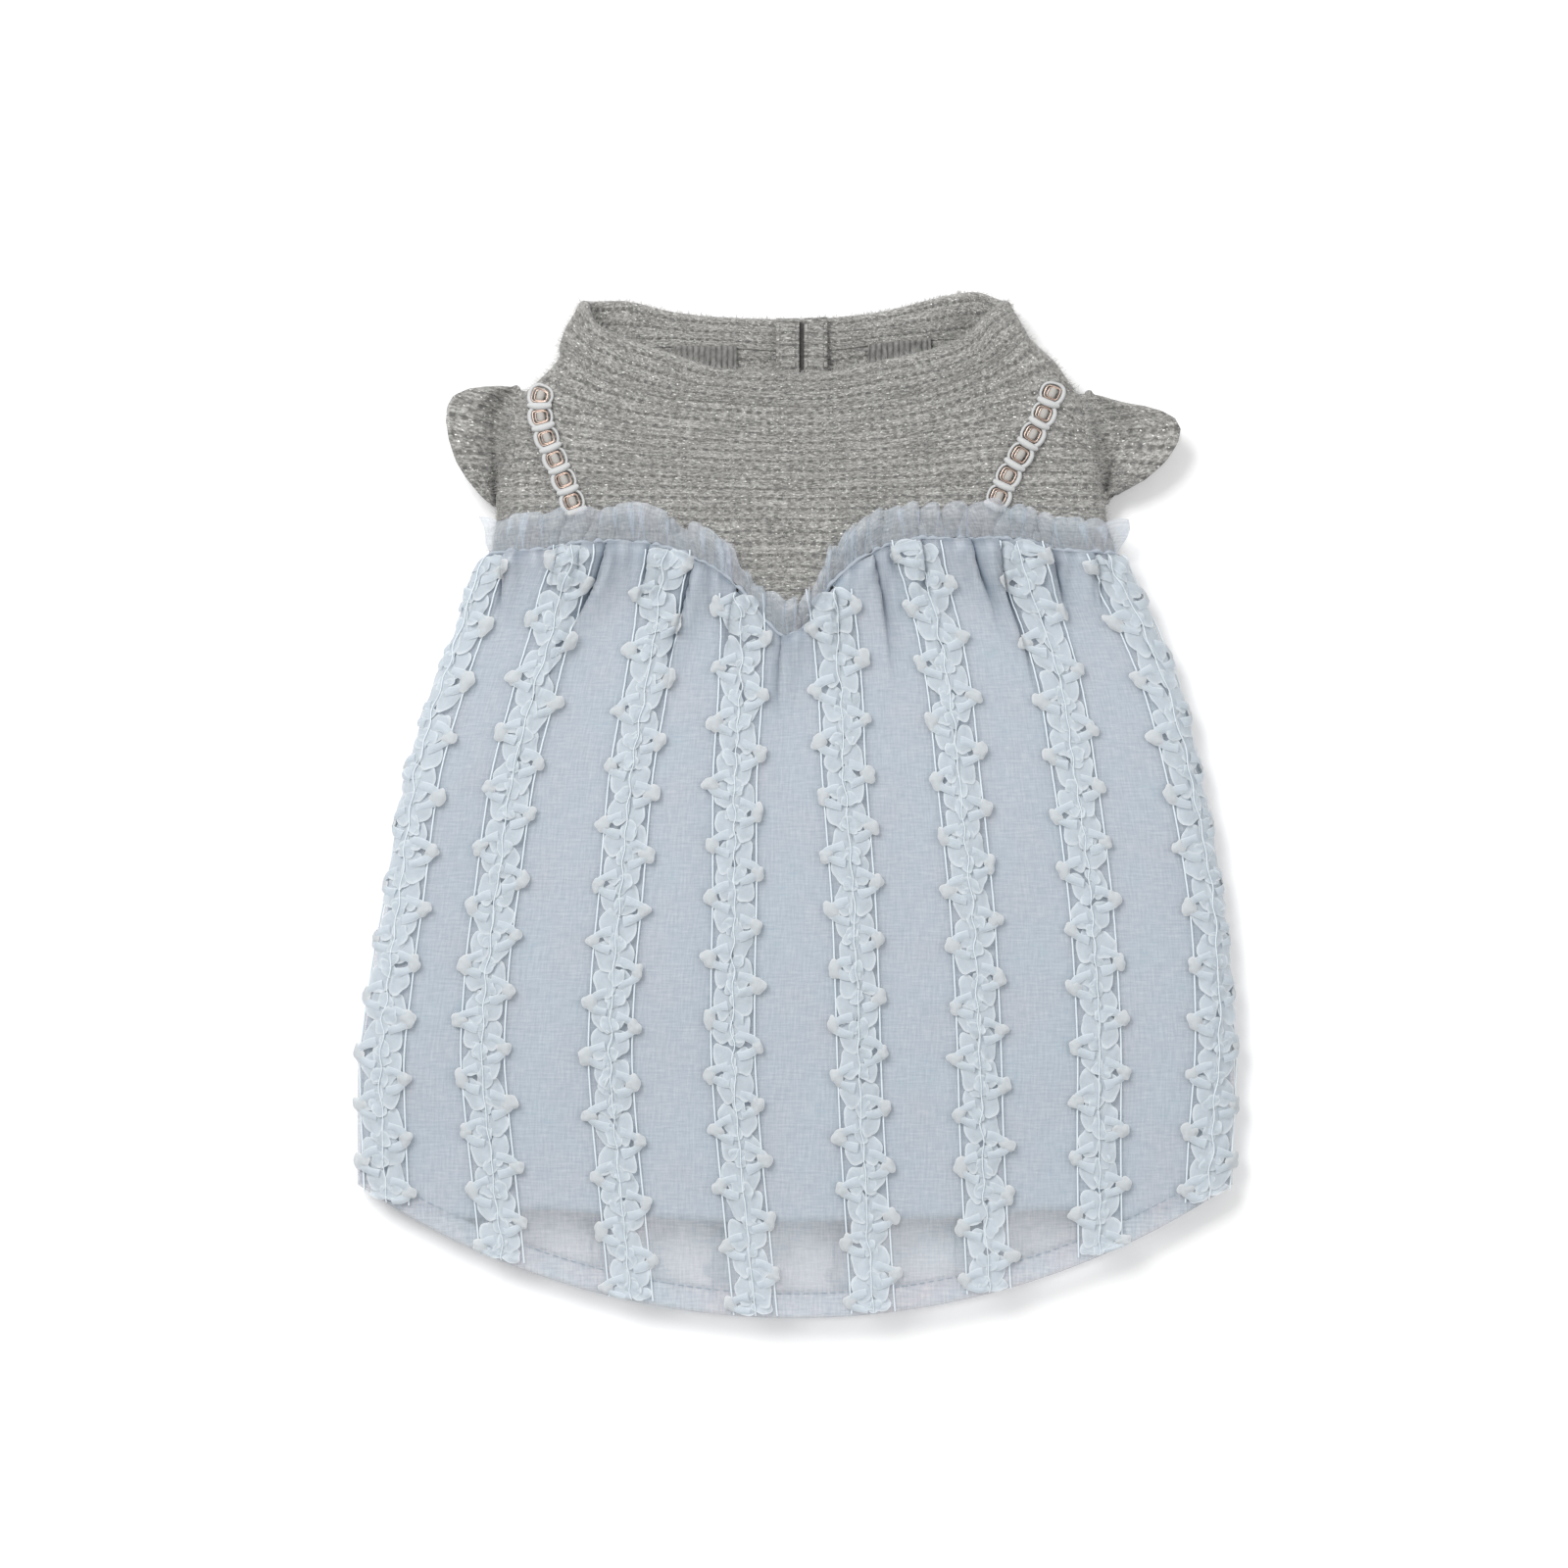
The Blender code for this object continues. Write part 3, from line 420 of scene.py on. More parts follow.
BODICE_ROWS = 100
ROWS_LEVEL = 34 * MM
NECK_MIDDLE = 0.34
places = tube_places(190, 110)
ends = np.append(places, 3.0)
share = np.linspace(0, 1, BODICE_ROWS + 1)[:, None]
top = neck_seam_y(places)
bottom = seam_y(places) - SEAM_ALLOWANCE
y = top + share * (bottom - top)
wrinkle = 0.45 * MM * ripple(places * CHEST_HALF, y * 1.6, 30 * MM, 3) * ease(0.0, 0.2, share)
points = cloth(places, y, wrinkle)


def knit_cut(ends, y):
    """Where each point of the laid knit is on its flat cut: rows follow the neck, then level."""
    below = neck_seam_y(ends) - y
    level = ease(0.0, ROWS_LEVEL, below)
    down = below * (1 - level) + (TOP_Y - y - NECK_MIDDLE * TOP_LENGTH) * level
    return np.stack([np.broadcast_to(ends * CHEST_HALF, down.shape), down], -1)


ARMHOLE_LENGTH = 30.5 * MM
ARMHOLE_HEIGHT = 7.8 * MM
ARMHOLE_LAP = 1 * MM
SLEEVE_WALL = 1.5 * MM
SLEEVES = {
    # side, armhole's middle as a share of TOP_LENGTH down, reach
    "left": (-1, 0.595, 13.9 * MM),
    "right": (1, 0.600, 20.9 * MM),
}


def armhole_middle(down):
    """The y and z of an armhole's middle."""
    y = TOP_Y - TOP_LENGTH * down
    return y, float(under_at(y)) + KNIT + ARMHOLE_HEIGHT / 2 - SLEEVE_WALL


face_points = (points[:-1] + points[1:]) / 2
keep = np.ones(face_points.shape[:2], bool)
for side, down, _ in SLEEVES.values():
    middle_y, middle_z = armhole_middle(down)
    near = (face_points[..., 1] - middle_y) / (ARMHOLE_LENGTH / 2 - ARMHOLE_LAP)
    level = (face_points[..., 2] - middle_z) / (ARMHOLE_HEIGHT / 2)
    at_side = side * (face_points[..., 0] - middle_x(middle_y)) > 0.85 * half_width(middle_y)
    keep &= ~(at_side & (near**2 + level**2 < 1))
cut = knit_cut(ends, np.hstack([y, y[:, :1]]))
bodice = add_sheet("bodice_knit", points, cut, closed=True, keep=keep)
thicken(bodice, KNIT)
wear(bodice, heather_knit, "knit", "bodice")

# Collar
# A stand collar of the same knit, cut double and folded over at its top edge, sewn round the neck.
# Its front edge dips, so the inside of the belly side shows behind it.
COLLAR_FRONT_EDGE = (
    # across, share of TOP_LENGTH down
    (-1.00, 0.041), (-0.89, 0.130), (-0.78, 0.174), (-0.55, 0.244), (-0.32, 0.304),
    (0.00, 0.320), (0.36, 0.263), (0.62, 0.211), (0.76, 0.163), (0.87, 0.100), (1.00, 0.041),
)
COLLAR_BACK_EDGE = (
    # across, share of TOP_LENGTH down
    (-1.00, 0.041), (-0.84, 0.033), (-0.55, 0.078), (-0.33, 0.096), (0.00, 0.104),
    (0.32, 0.085), (0.51, 0.056), (0.72, 0.015), (0.86, 0.000), (1.00, 0.041),
)
COLLAR_DOUBLING = 0.8 * MM
COLLAR_GAP = 0.35 * MM
COLLAR_LAP = 1.6 * MM
COLLAR_ROWS = 15
FLOOR_GAP = 0.1 * MM
collar_front = curve_through(COLLAR_FRONT_EDGE)
collar_back = curve_through(COLLAR_BACK_EDGE)


def collar_edge_y(place):
    """The folded top edge of the collar."""
    across, upper = sheet_of(place)
    return TOP_Y - TOP_LENGTH * np.where(upper, collar_front(across), collar_back(across))


half_thick = (KNIT + COLLAR_DOUBLING) / 2
fold_rise = 0.9 * half_thick
# Rows as share down, height outside the tube and rise over the fold: up the outside, over, down.
profile = [(share, COLLAR_DOUBLING, 0.0) for share in np.linspace(1, 0, COLLAR_ROWS)]
for turn in np.linspace(0, math.pi, 9)[1:-1]:
    out = COLLAR_DOUBLING - half_thick * (1 - math.cos(turn))
    profile.append((0.0, out, fold_rise * math.sin(turn)))
profile += [(share, -KNIT, 0.0) for share in np.linspace(0, 1, COLLAR_ROWS)]
collar_places = tube_places(180, 120)
edge_y = collar_edge_y(collar_places) - fold_rise
base_y = neck_seam_y(collar_places) + COLLAR_GAP
rows = []
for share, out, over in profile:
    outside = out > 0
    lap = COLLAR_LAP if outside else 0.6 * COLLAR_LAP
    row_y = edge_y + share * (base_y - lap - edge_y) + over
    puff = 0.25 * MM * math.sin(math.pi * share) * (1 if outside else -1)
    sunk = 0.45 * ease(0.80, 1.0, share) + 0.42 * ease(0.90, 1.0, share)
    tuck = sunk * MM if outside else 0.25 * MM
    wave = 0.2 * MM * ripple(collar_places * NECK_HALF, row_y, 20 * MM, 7)
    rows.append(cloth(collar_places, row_y, out + puff - tuck + wave * (share > 0)))
points = np.stack(rows)
points[..., 2] = np.maximum(points[..., 2], FLOOR_GAP)
travel = np.linalg.norm(np.diff(points, axis=0), axis=2).mean(axis=1)
down = -np.concatenate([[0.0], np.cumsum(travel)])
ends = np.append(collar_places, 3.0)
uv = np.stack(np.broadcast_arrays(ends * CHEST_HALF, down[:, None]), -1)
collar = add_sheet("collar_knit", points, uv, closed=True)
wear(collar, heather_knit, "knit", "collar")

# Sleeves
# Two short cap sleeves of the same knit, set into the armholes and pressed flat at the sides, so
# each rounds over at its top corner. The right one reaches a little farther out and hangs lower.
SLEEVE_OPENING = 10.4 * MM
SLEEVE_ROWS = 44
SLEEVE_AROUND = 96
SLEEVE_CREASE = 7.6 * MM
CREASE_AT = 0.30
CREASE_WIDTH = 0.24
SLEEVE_HEMS = {
    # x and y along the pressed hem, from its low end to its top, in mm
    "left": (
        (-83.4, 82.1), (-86.8, 85.0), (-90.6, 89.6), (-93.6, 94.6), (-95.4, 100.2),
        (-96.2, 105.4), (-96.0, 109.4), (-94.2, 112.6), (-90.0, 114.6), (-84.8, 115.4),
    ),
    "right": (
        (85.4, 84.6), (91.6, 86.6), (97.4, 89.9), (102.4, 94.4), (105.6, 99.4), (106.4, 103.2),
        (105.0, 106.2), (101.2, 108.4), (95.6, 110.0), (90.0, 110.9),
    ),
}


def side_reach(y, z):
    """How far the laid tube reaches sideways at this height."""
    low, high = np.full(y.shape, 0.5), np.ones(y.shape)
    above = z > fold_at(y)
    for _ in range(30):
        at = (low + high) / 2
        covered = np.where(above, laid(at, y, above)[1] > z, laid(at, y, above)[1] < z)
        low, high = np.where(covered, at, low), np.where(covered, high, at)
    return low * half_width(y)


def add_sleeve(name, side, down, reach):
    """A sleeve from its armhole out to its pressed hem, creased beside the armhole."""
    middle_y, middle_z = armhole_middle(down)
    turn = math.tau * np.arange(SLEEVE_AROUND) / SLEEVE_AROUND
    along, up = np.cos(turn), np.sin(turn)
    y = middle_y + ARMHOLE_LENGTH / 2 * along
    z = middle_z + (ARMHOLE_HEIGHT / 2 + SLEEVE_WALL) * up
    z = np.maximum(z, under_at(y) + 0.35 * MM)
    root = np.stack([middle_x(y) + side * (side_reach(y, z) - 0.4 * MM), y, z], -1)
    hem = np.array(SLEEVE_HEMS[name]) * MM
    step = np.concatenate([[0], np.cumsum(np.linalg.norm(np.diff(hem, axis=0), axis=1))])
    at = (along + 1) / 2
    at = (0.75 * at + 0.25 * ease(0, 1, at)) * step[-1]
    end_z = SLEEVE_OPENING / 2 + 0.6 * MM + SLEEVE_OPENING / 2 * up * (1 - 0.25 * along**2)
    end = np.column_stack([np.interp(at, step, hem[:, 0]), np.interp(at, step, hem[:, 1]), end_z])
    share = np.linspace(0, 1, SLEEVE_ROWS)[:, None]
    points = root + share[..., None] * (end - root)
    points[..., 1] += 0.8 * MM * np.sin(math.pi * share) * np.maximum(along, 0)
    top = np.maximum(up, 0)
    swell = 1.7 * MM * np.sin(math.pi * np.minimum(share * 1.15, 1))
    crease = np.exp(-(((share - CREASE_AT) / CREASE_WIDTH) ** 2)) * ease(0.0, 0.20, share)
    fold = 1.1 * MM * ripple(points[..., 0] * 1.4, points[..., 1] * 0.55, 13 * MM, 11)
    points[..., 2] += (swell - SLEEVE_CREASE * crease + fold * np.sin(math.pi * share)) * top
    points[..., 2] = np.maximum(points[..., 2], 0.8 * MM + 2.0 * MM * top)
    turned = 0.5 * MM * (ease(0.78, 0.84, share) - ease(0.95, 1.0, share))
    points[..., 2] += turned * up
    around = np.append(along, along[0]) * ARMHOLE_LENGTH / 2
    uv = np.stack(np.broadcast_arrays(side * share * reach * 1.15, around), -1)
    if side < 0:
        points, uv = points[:, ::-1], uv[:, ::-1]
    sleeve = add_sheet(f"sleeve_{name}_knit", points, uv, closed=True)
    thicken(sleeve, SLEEVE_WALL, 1)
    wear(sleeve, heather_knit, "knit", f"sleeve_{name}")


for name, values in SLEEVES.items():
    add_sleeve(name, *values)

# Closure and neck facings
# Inside the belly side two knit facings meet over a dark hook tape, each held by two rows of
# stitching, and two short rib facings sit below the collar's seam.
PLACKET_WIDTH = 6.2 * MM
PLACKET_LENGTH = 52 * MM
PLACKET_X = 1.9 * MM
CLOSURE_SLOT = 1.6 * MM
TAPE_WIDTH = 10 * MM
PATCH_WIDTH = 17.5 * MM
PATCH_HEIGHT = 8 * MM
GAP = 0.35 * MM


def inside_back(x, y, height):
    """Points on the inside of the belly side's knit."""
    across = (x - middle_x(y)) / half_width(y)
    return np.stack([x + 0 * y, y + 0 * x, laid(across, y, False)[1] + KNIT + height], -1)


def back_collar_y(x):
    """The collar's edge on the belly side, by x."""
    at = TOP_Y - TOP_LENGTH * float(collar_back(0.0))
    return TOP_Y - TOP_LENGTH * collar_back((x - middle_x(at)) / half_width(at))


def add_strip(name, left, right, top_at, bottom_y, height, thickness, ribs=0):
    """A strip on the belly side's inside, bowed a little or standing in ribs."""
    columns, rows = (13 + 12 * ribs, 10) if ribs else (13, 40)
    over = np.linspace(0, 1, columns)
    x = np.linspace(left, right, columns)
    top_edge = top_at(x)
    y = top_edge + np.linspace(0, 1, rows)[:, None] * (bottom_y - top_edge)
    if ribs:
        crown = 0.35 * MM * (1 + np.cos(math.tau * ribs * over))
    else:
        crown = 0.25 * MM * np.sin(math.pi * over)
    points = inside_back(np.broadcast_to(x, y.shape), y, height + crown)
    strip = add_sheet(name, points, np.stack([points[..., 0], points[..., 1]], -1))
    thicken(strip, thickness, 1)
    return strip


def plain_cloth(name, colour, roughness, thread, strength):
    """A plain cloth or thread, matt, whose yarns show as a grain of their own size."""
    material = new_material(name)
    cut = add_node(material, "UVMap", uv_map="cut")
    feeds = {"Vector": cut, "Scale": (1 / thread[0], 1 / thread[1], 1)}
    feeds = {"Vector": add_node(material, "Mapping", feeds), "Scale": 1.0, "Detail": 3.0}
    grain = add_node(material, "TexNoise", feeds)
    feeds = {0: grain, 1: 0.3, 2: 0.7, 3: 1 - strength, 4: 1 + strength}
    feeds = {0: linear(colour)[:3], "Scale": add_node(material, "MapRange", feeds)}
    shade = add_node(material, "VectorMath", feeds, operation="SCALE")
    bump = add_node(material, "Bump", {"Strength": 0.4, "Distance": 0.3 * MM, "Height": grain})
    feeds = {"Base Color": shade, "Roughness": roughness, "Normal": bump}
    return close_material(material, add_node(material, "BsdfPrincipled", feeds))


# Woven nylon hook tape, matt and nearly black, and a cuff rib knitted of the top's darker yarn.
hook_tape = plain_cloth("dark hook tape", "#4d4b4a", 0.9, (0.8 * MM, 0.8 * MM), 0.4)
rib_knit = plain_cloth("ribbed cuff knit", "#7b7a78", 0.9, (0.8 * MM, 1.6 * MM), 0.35)
placket_end_y = float(back_collar_y(PLACKET_X)) - PLACKET_LENGTH
left, right = PLACKET_X - TAPE_WIDTH / 2, PLACKET_X + TAPE_WIDTH / 2


def tape_top(x):
    return back_collar_y(x) - 1.4 * MM


tape = add_strip("hook_tape", left, right, tape_top, placket_end_y + GAP, GAP, 0.6 * MM)
wear(tape, hook_tape, "tape", "closure_tape")
for name, side in (("left", -1), ("right", 1)):
    near = PLACKET_X + side * CLOSURE_SLOT / 2
    left, right = sorted((near, near + side * PLACKET_WIDTH))
    placket = add_strip(
        f"placket_{name}_knit", left, right, back_collar_y, placket_end_y, 1.3 * MM, 1.0 * MM
    )
    wear(placket, heather_knit, "knit", f"placket_{name}")
for name, middle, tilt in (("left", -0.40, 0.0), ("right", 0.44, 0.1)):
    seam = float(neck_seam_y(2 - middle))
    x = float(middle_x(seam) + half_width(seam) * middle)
    left, right = x - PATCH_WIDTH / 2, x + PATCH_WIDTH / 2

    def patch_top(at):
        return seam - GAP + tilt * (at - x)

    patch = add_strip(
        f"rib_{name}_knit", left, right, patch_top, seam - PATCH_HEIGHT, GAP, 0.3 * MM, ribs=11
    )
    wear(patch, rib_knit, "rib_knit", f"rib_patch_{name}")


def rod(path, radius, sides=6, closed=False):
    """A grid of rings round a path, and its texture places."""
    path = np.asarray(path, float)
    if closed:
        run = np.roll(path, -1, axis=0) - np.roll(path, 1, axis=0)
    else:
        run = np.gradient(path, axis=0)
    run /= np.maximum(np.linalg.norm(run, axis=1, keepdims=True), 1e-12)
    level = np.where(np.abs(run[:, 2:]) > 0.9, np.array([[1.0, 0, 0]]), np.array([[0, 0, 1.0]]))
    side = np.cross(run, level)
    side /= np.linalg.norm(side, axis=1, keepdims=True)
    lift = np.cross(side, run)
    turn = math.tau * np.arange(sides) / sides
    size = np.broadcast_to(np.asarray(radius, float), (len(path),))[:, None, None]
    ring = side[:, None] * np.cos(turn)[:, None] + lift[:, None] * np.sin(turn)[:, None]
    grid = path[:, None] + size * ring
    if closed:
        grid = np.concatenate([grid, grid[:1]])
    length = np.arange(len(grid)) * np.linalg.norm(np.diff(path, axis=0), axis=1).mean()
    uv = np.stack(np.broadcast_arrays(np.arange(sides + 1) / sides, length[:, None]), -1)
    return grid, uv, True


def join_parts(name, parts):
    """One mesh of many grids of points, each with texture places and whether it closes."""
    points, faces, corners, start = [], [], [], 0
    for grid, uv, closed in parts:
        rows, columns = grid.shape[:2]
        faces.append(start + grid_faces(rows, columns, closed).reshape(-1, 4))
        corners.append(face_corners(uv).reshape(-1, 2))
        points.append(grid.reshape(-1, 3))
        start += rows * columns
    faces = np.concatenate(faces).tolist()
    return add_piece(name, np.concatenate(points), faces, np.concatenate(corners))


# Grey spun thread, matt and darker than the knit that it is sunk in.
knit_thread = plain_cloth("grey sewing thread", "#6d6c6a", 0.7, (0.3 * MM, 0.3 * MM), 0.1)
placket_stitches = []
lift = (2.35 + 0.1 * np.sin(np.linspace(0, math.pi, 4))) * MM
for side in (-1, 1):
    for inset in (0.9 * MM, 5.2 * MM):
        x = PLACKET_X + side * (CLOSURE_SLOT / 2 + inset)
        high = float(back_collar_y(x)) - 1.2 * MM
        for y in np.arange(placket_end_y + 2 * MM, high, 2.6 * MM):
            line = inside_back(np.full(4, x), np.linspace(y, y + 1.7 * MM, 4), lift)
            placket_stitches.append(rod(line, 0.14 * MM, 5))
wear(join_parts("placket_stitches", placket_stitches), knit_thread, "knit")

# Skirt lining
# A plain tube of thin light blue cloth inside the skirt, cut shorter than it, so the hem of the
# chiffon shows paler over the table. It is caught in the same seam, so it shares its folds.
LINING_DROP = 10.3 * MM
LINING_ROWS = 80
LINING_SHARE = 0.9
PLEAT_LEAN = 1.3 * MM
PUCKER_SIZE = 3.6 * MM
PLEATS = (
    # points (x, y) down the pleat's edge, height, soft side's width, all in mm; side it rises to
    (((-49.0, 74.0), (-52.0, 64.0), (-61.0, 47.3), (-66.0, 38.0), (-74.0, 16.0)), 3.6, 12, 1),
    (((-26.0, 66.0), (-30.0, 51.8), (-33.8, 36.7), (-36.2, 14.0)), 3.2, 9, 1),
    (((45.5, 76.0), (48.6, 64.8), (52.9, 55.0), (58.0, 40.0)), 3.2, 7, -1),
    (((54.0, 75.0), (55.9, 61.8), (62.4, 42.9), (68.0, 20.0)), 3.2, 9, -1),
    (((67.5, 72.0), (71.8, 58.9), (76.0, 46.0)), 2.8, 7, -1),
    (((-77.0, 70.0), (-79.5, 58.0), (-83.0, 46.0)), 2.2, 6, 1),
    (((-2.0, 46.0), (-3.5, 34.0), (-5.0, 16.0)), 1.8, 6, 1),
    (((20.0, 68.0), (24.0, 50.0), (27.5, 26.0)), 2.2, 8, -1),
    (((-62.0, 74.0), (-65.5, 62.0), (-69.0, 52.0)), 2.2, 5, 1),
    (((-38.0, 71.0), (-40.0, 62.0), (-42.0, 54.0)), 2.2, 5, 1),
    (((33.0, 73.0), (35.0, 62.0), (37.0, 52.0)), 2.2, 5, -1),
    (((80.0, 69.0), (82.5, 60.0), (85.0, 50.0)), 2.0, 5, -1),
    (((-15.0, 58.0), (-17.5, 46.0), (-19.5, 36.0)), 1.8, 5, 1),
    (((9.5, 58.0), (11.0, 48.0), (12.5, 38.0)), 1.8, 5, -1),
    (((27.0, 72.0), (28.5, 63.0), (30.0, 56.0)), 1.6, 4, 1),
    (((-56.0, 75.0), (-58.0, 66.0), (-60.5, 58.0)), 1.7, 4, 1),
)
SWELLS = (
    # points (x, y) down a soft fold, height, half width, all in mm
    (((-29.0, 40.0), (-28.0, 10.0), (-30.0, -30.0), (-31.0, -60.0)), 0.8, 6),
    (((-88.0, 30.0), (-96.0, 0.0), (-103.0, -50.0), (-106.0, -90.0)), 0.7, 9),
    (((8.0, 30.0), (12.0, -10.0), (13.0, -60.0), (14.0, -110.0)), 0.6, 9),
    (((86.0, 30.0), (95.0, -5.0), (102.0, -50.0), (104.0, -90.0)), 0.7, 9),
    (((40.0, 30.0), (45.0, -20.0), (46.0, -80.0)), 0.5, 8),
    (((-60.0, 0.0), (-64.0, -40.0), (-66.0, -90.0)), 0.5, 8),
)


def around_arc(across, drop):
    """How far a round hem has dropped below its corners."""
    radius = (SKIRT_HALF**2 + drop**2) / (2 * drop)
    return np.sqrt(radius**2 - (across * SKIRT_HALF) ** 2) - (radius - drop)


def lining_hem_y(place):
    """The lining's hem, which sags a little towards the sides."""
    across, _ = sheet_of(place)
    out = np.abs(across)
    sag = 5.5 * MM * ease(0.55, 0.80, out) * (1 - ease(0.90, 1.0, out))
    wave = 0.4 * MM * ripple(across * SKIRT_HALF, 0 * across, 22 * MM, 23) * (1 - out)
    return CORNER_Y + GAP - around_arc(across, LINING_DROP) - sag + wave


def fold_line(path):
    """A fold's x by its y, and the y where it starts and ends."""
    line = curve_through([(y * MM, x * MM) for x, y in reversed(path)])
    return line, path[0][1] * MM, path[-1][1] * MM


def gathers(x, y):
    """The small puckers that the gathering makes, from about -1 to 1."""
    return ripple(x, y * 0.12, PUCKER_SIZE, 31)


def stand_off(place, y):
    """How far the folds lift the chiffon, and how far they push it sideways."""
    across, upper = sheet_of(place)
    x = middle_x(y) + half_width(y) * across
    below = seam_y(place) - y
    lift, push = np.zeros(x.shape), np.zeros(x.shape)
    for path, height, width, rise in PLEATS:
        line, start, end = fold_line(path)
        # Strongest at the seam and gone at its end.
        fade = ease(end, end + 0.85 * (start - end), y)
        fade = fade * (1 + 0.5 * ease(start - 22 * MM, start, y))
        away = (x - line(y)) * rise
        crest = ease(-0.5 * MM, 0.3 * MM, away) * np.exp(-np.maximum(away, 0) / (width * 0.4 * MM))
        valley = np.exp(-(((away + 1.3 * MM) / (1.1 * MM)) ** 2))
        lift += height * MM * fade * (crest - 0.10 * valley)
        # Near the seam the cloth is bunched on both sides of a narrow slot.
        slot = (0.5 + 0.03 * (start - y) / MM) * MM
        bank = ease(0.0, 1.1 * MM, np.abs(away) - slot)
        bank = bank * np.exp(-np.maximum(np.abs(away) - slot, 0) / (4 * MM))
        near = ease(start - 24 * MM, start - 6 * MM, y) * ease(0, 3 * MM, below)
        lift += 0.95 * height * MM * bank * near
        lean = ease(-0.9 * MM, 0.3 * MM, away) * np.exp(-np.maximum(away, 0) / (3.2 * MM))
        push -= rise * PLEAT_LEAN * fade * lean
    for path, height, width in SWELLS:
        line, start, end = fold_line(path)
        fade = ease(end - 15 * MM, end + 15 * MM, y) * (1 - ease(start - 20 * MM, start, y))
        lift += height * MM * fade * np.exp(-(((x - line(y)) / (width * MM)) ** 2))
    puckers = gathers(x, y) * 0.5 + 0.5
    near_seam = np.exp(-np.maximum(below, 0) / (9 * MM)) * ease(-0.1 * MM, 1.5 * MM, below)
    lift += (0.4 + 1.5 * puckers) * MM * near_seam
    lift += 0.22 * MM * (ripple(x, y * 0.5, 24 * MM, 33) + 1)
    return np.where(upper, lift, 0.1 * MM), np.where(upper, push, 0.0)


def uv_of(places, y, half):
    """Texture places of a closed grid in metres along the cloth, its first column repeated."""
    x = np.broadcast_to(np.append(places, 3.0) * half, (len(y), len(places) + 1))
    return np.stack([x, np.hstack([y, y[:, :1]])], -1)


# Plain woven polyester, matt and even: its threads only just show through the chiffon.
lining_cloth = plain_cloth("plain woven lining", "#a2adb7", 0.8, (0.7 * MM, 0.7 * MM), 0.04)
places = tube_places(320, 50)
share = np.linspace(0, 1, LINING_ROWS + 1)[:, None]
top = seam_y(places) - 0.3 * MM
y = top + share * (lining_hem_y(places) - top)
over_knit = 1 - ease(SEAM_ALLOWANCE, SEAM_ALLOWANCE + 3 * MM, top - y)
sink = -0.25 * MM + 0.15 * MM * ripple(places * SKIRT_HALF, y, 40 * MM, 21)
lift, push = stand_off(places, y)
points = cloth(places, y, sink + (0.45 * MM - sink) * over_knit + LINING_SHARE * lift)
points[..., 0] += LINING_SHARE * push
lining = add_sheet("lining_cloth", points, uv_of(places, y, SKIRT_HALF), closed=True)
thicken(lining, 0.3 * MM)
wear(lining, lining_cloth, "lining", "skirt_lining")

# Skirt
# Chiffon gathered onto the sweetheart seam, sheer enough for the lining to show through, with a
# few pleats falling from the seam and its hem turned up twice and stitched.
LINING_GAP = 0.50 * MM
HEM_WIDTH = 6.8 * MM
HEM_TURNS = (0.15, 1.2, 2.4, 3.6, 4.8, 6.0, 6.8, 6.7, 5.6, 4.4, 3.2, 2.0, 0.6)
SKIRT_ROWS = 150


def hem_y(place):
    """The skirt's hem, an arc that is lowest in the middle."""
    across, _ = sheet_of(place)
    return CORNER_Y - around_arc(across, HEM_DROP)


def fold_shade_and_depth(place, y):
    """How deep in a fold each place lies, from 0 on the open cloth to 1 under a pleat. This
    thickens the cloth there and also sets the painted shade of the fold and of the grooves under
    the seam.
    """
    across, upper = sheet_of(place)
    x = middle_x(y) + half_width(y) * across
    shade_depth = np.zeros(x.shape)
    for path, height, _, rise in PLEATS:
        line, start, end = fold_line(path)
        fade = ease(end, end + 0.9 * (start - end), y) * min(height / 2.6, 1.1)
        away = (x - line(y)) * rise
        # Painted shade beside the pleat's edge, fading over its low side.
        under = np.exp(np.minimum(away + 1.5 * MM, 0) / (2.2 * MM))
        shade_depth = np.maximum(shade_depth, fade * ease(0.5 * MM, -0.2 * MM, away) * under)
    below = seam_y(place) - y
    # Painted shade in the grooves between the gathers just under the seam.
    furrow_shade = np.clip(0.6 - gathers(x, y), 0, 1) * np.exp(-np.maximum(below, 0) / (5 * MM))
    shade_depth = np.clip(np.maximum(shade_depth, 0.8 * furrow_shade), 0, 1)
    return np.where(upper & (below > -0.5 * MM), shade_depth, 0)


def chiffon_face(place, y):
    """Points on the chiffon as its folds lift and push it."""
    lift, push = stand_off(place, y)
    points = cloth(place, y, LINING_GAP + 0.15 * MM + lift)
    points[..., 0] += push
    return points


# Slubby chiffon of fine twisted yarn: sheer and matt, with thicker threads that draw a faint
# uneven crosshatch, and shot a little pink and blue. Its real weave, some 20 threads a centimetre,
# is too fine to show, so the slubs are drawn 0.6 mm thick and 5.5 mm long. Where a pleat folds it
# double it is denser, and it is painted darker as shade in and beside the fold and in the grooves
# under the seam, as deep as its fold layer says.
CHIFFON_SLUB = (5.5 * MM, 0.6 * MM)
CLOUD = 16 * MM
ROSY = (1.055, 0.985, 0.975, 1)


def close_thin_cloth(material, feeds, cover, through=0.42):
    """Close a thin cloth: some light passes through its threads, some between them."""
    front = add_node(material, "BsdfPrincipled", feeds)
    back = add_node(material, "BsdfTranslucent", {"Color": feeds["Base Color"]})
    threads = add_node(material, "MixShader", {0: through, 1: front, 2: back})
    holes = add_node(material, "BsdfTransparent")
    surface = add_node(material, "MixShader", {0: cover, 1: holes, 2: threads})
    return close_material(material, surface)


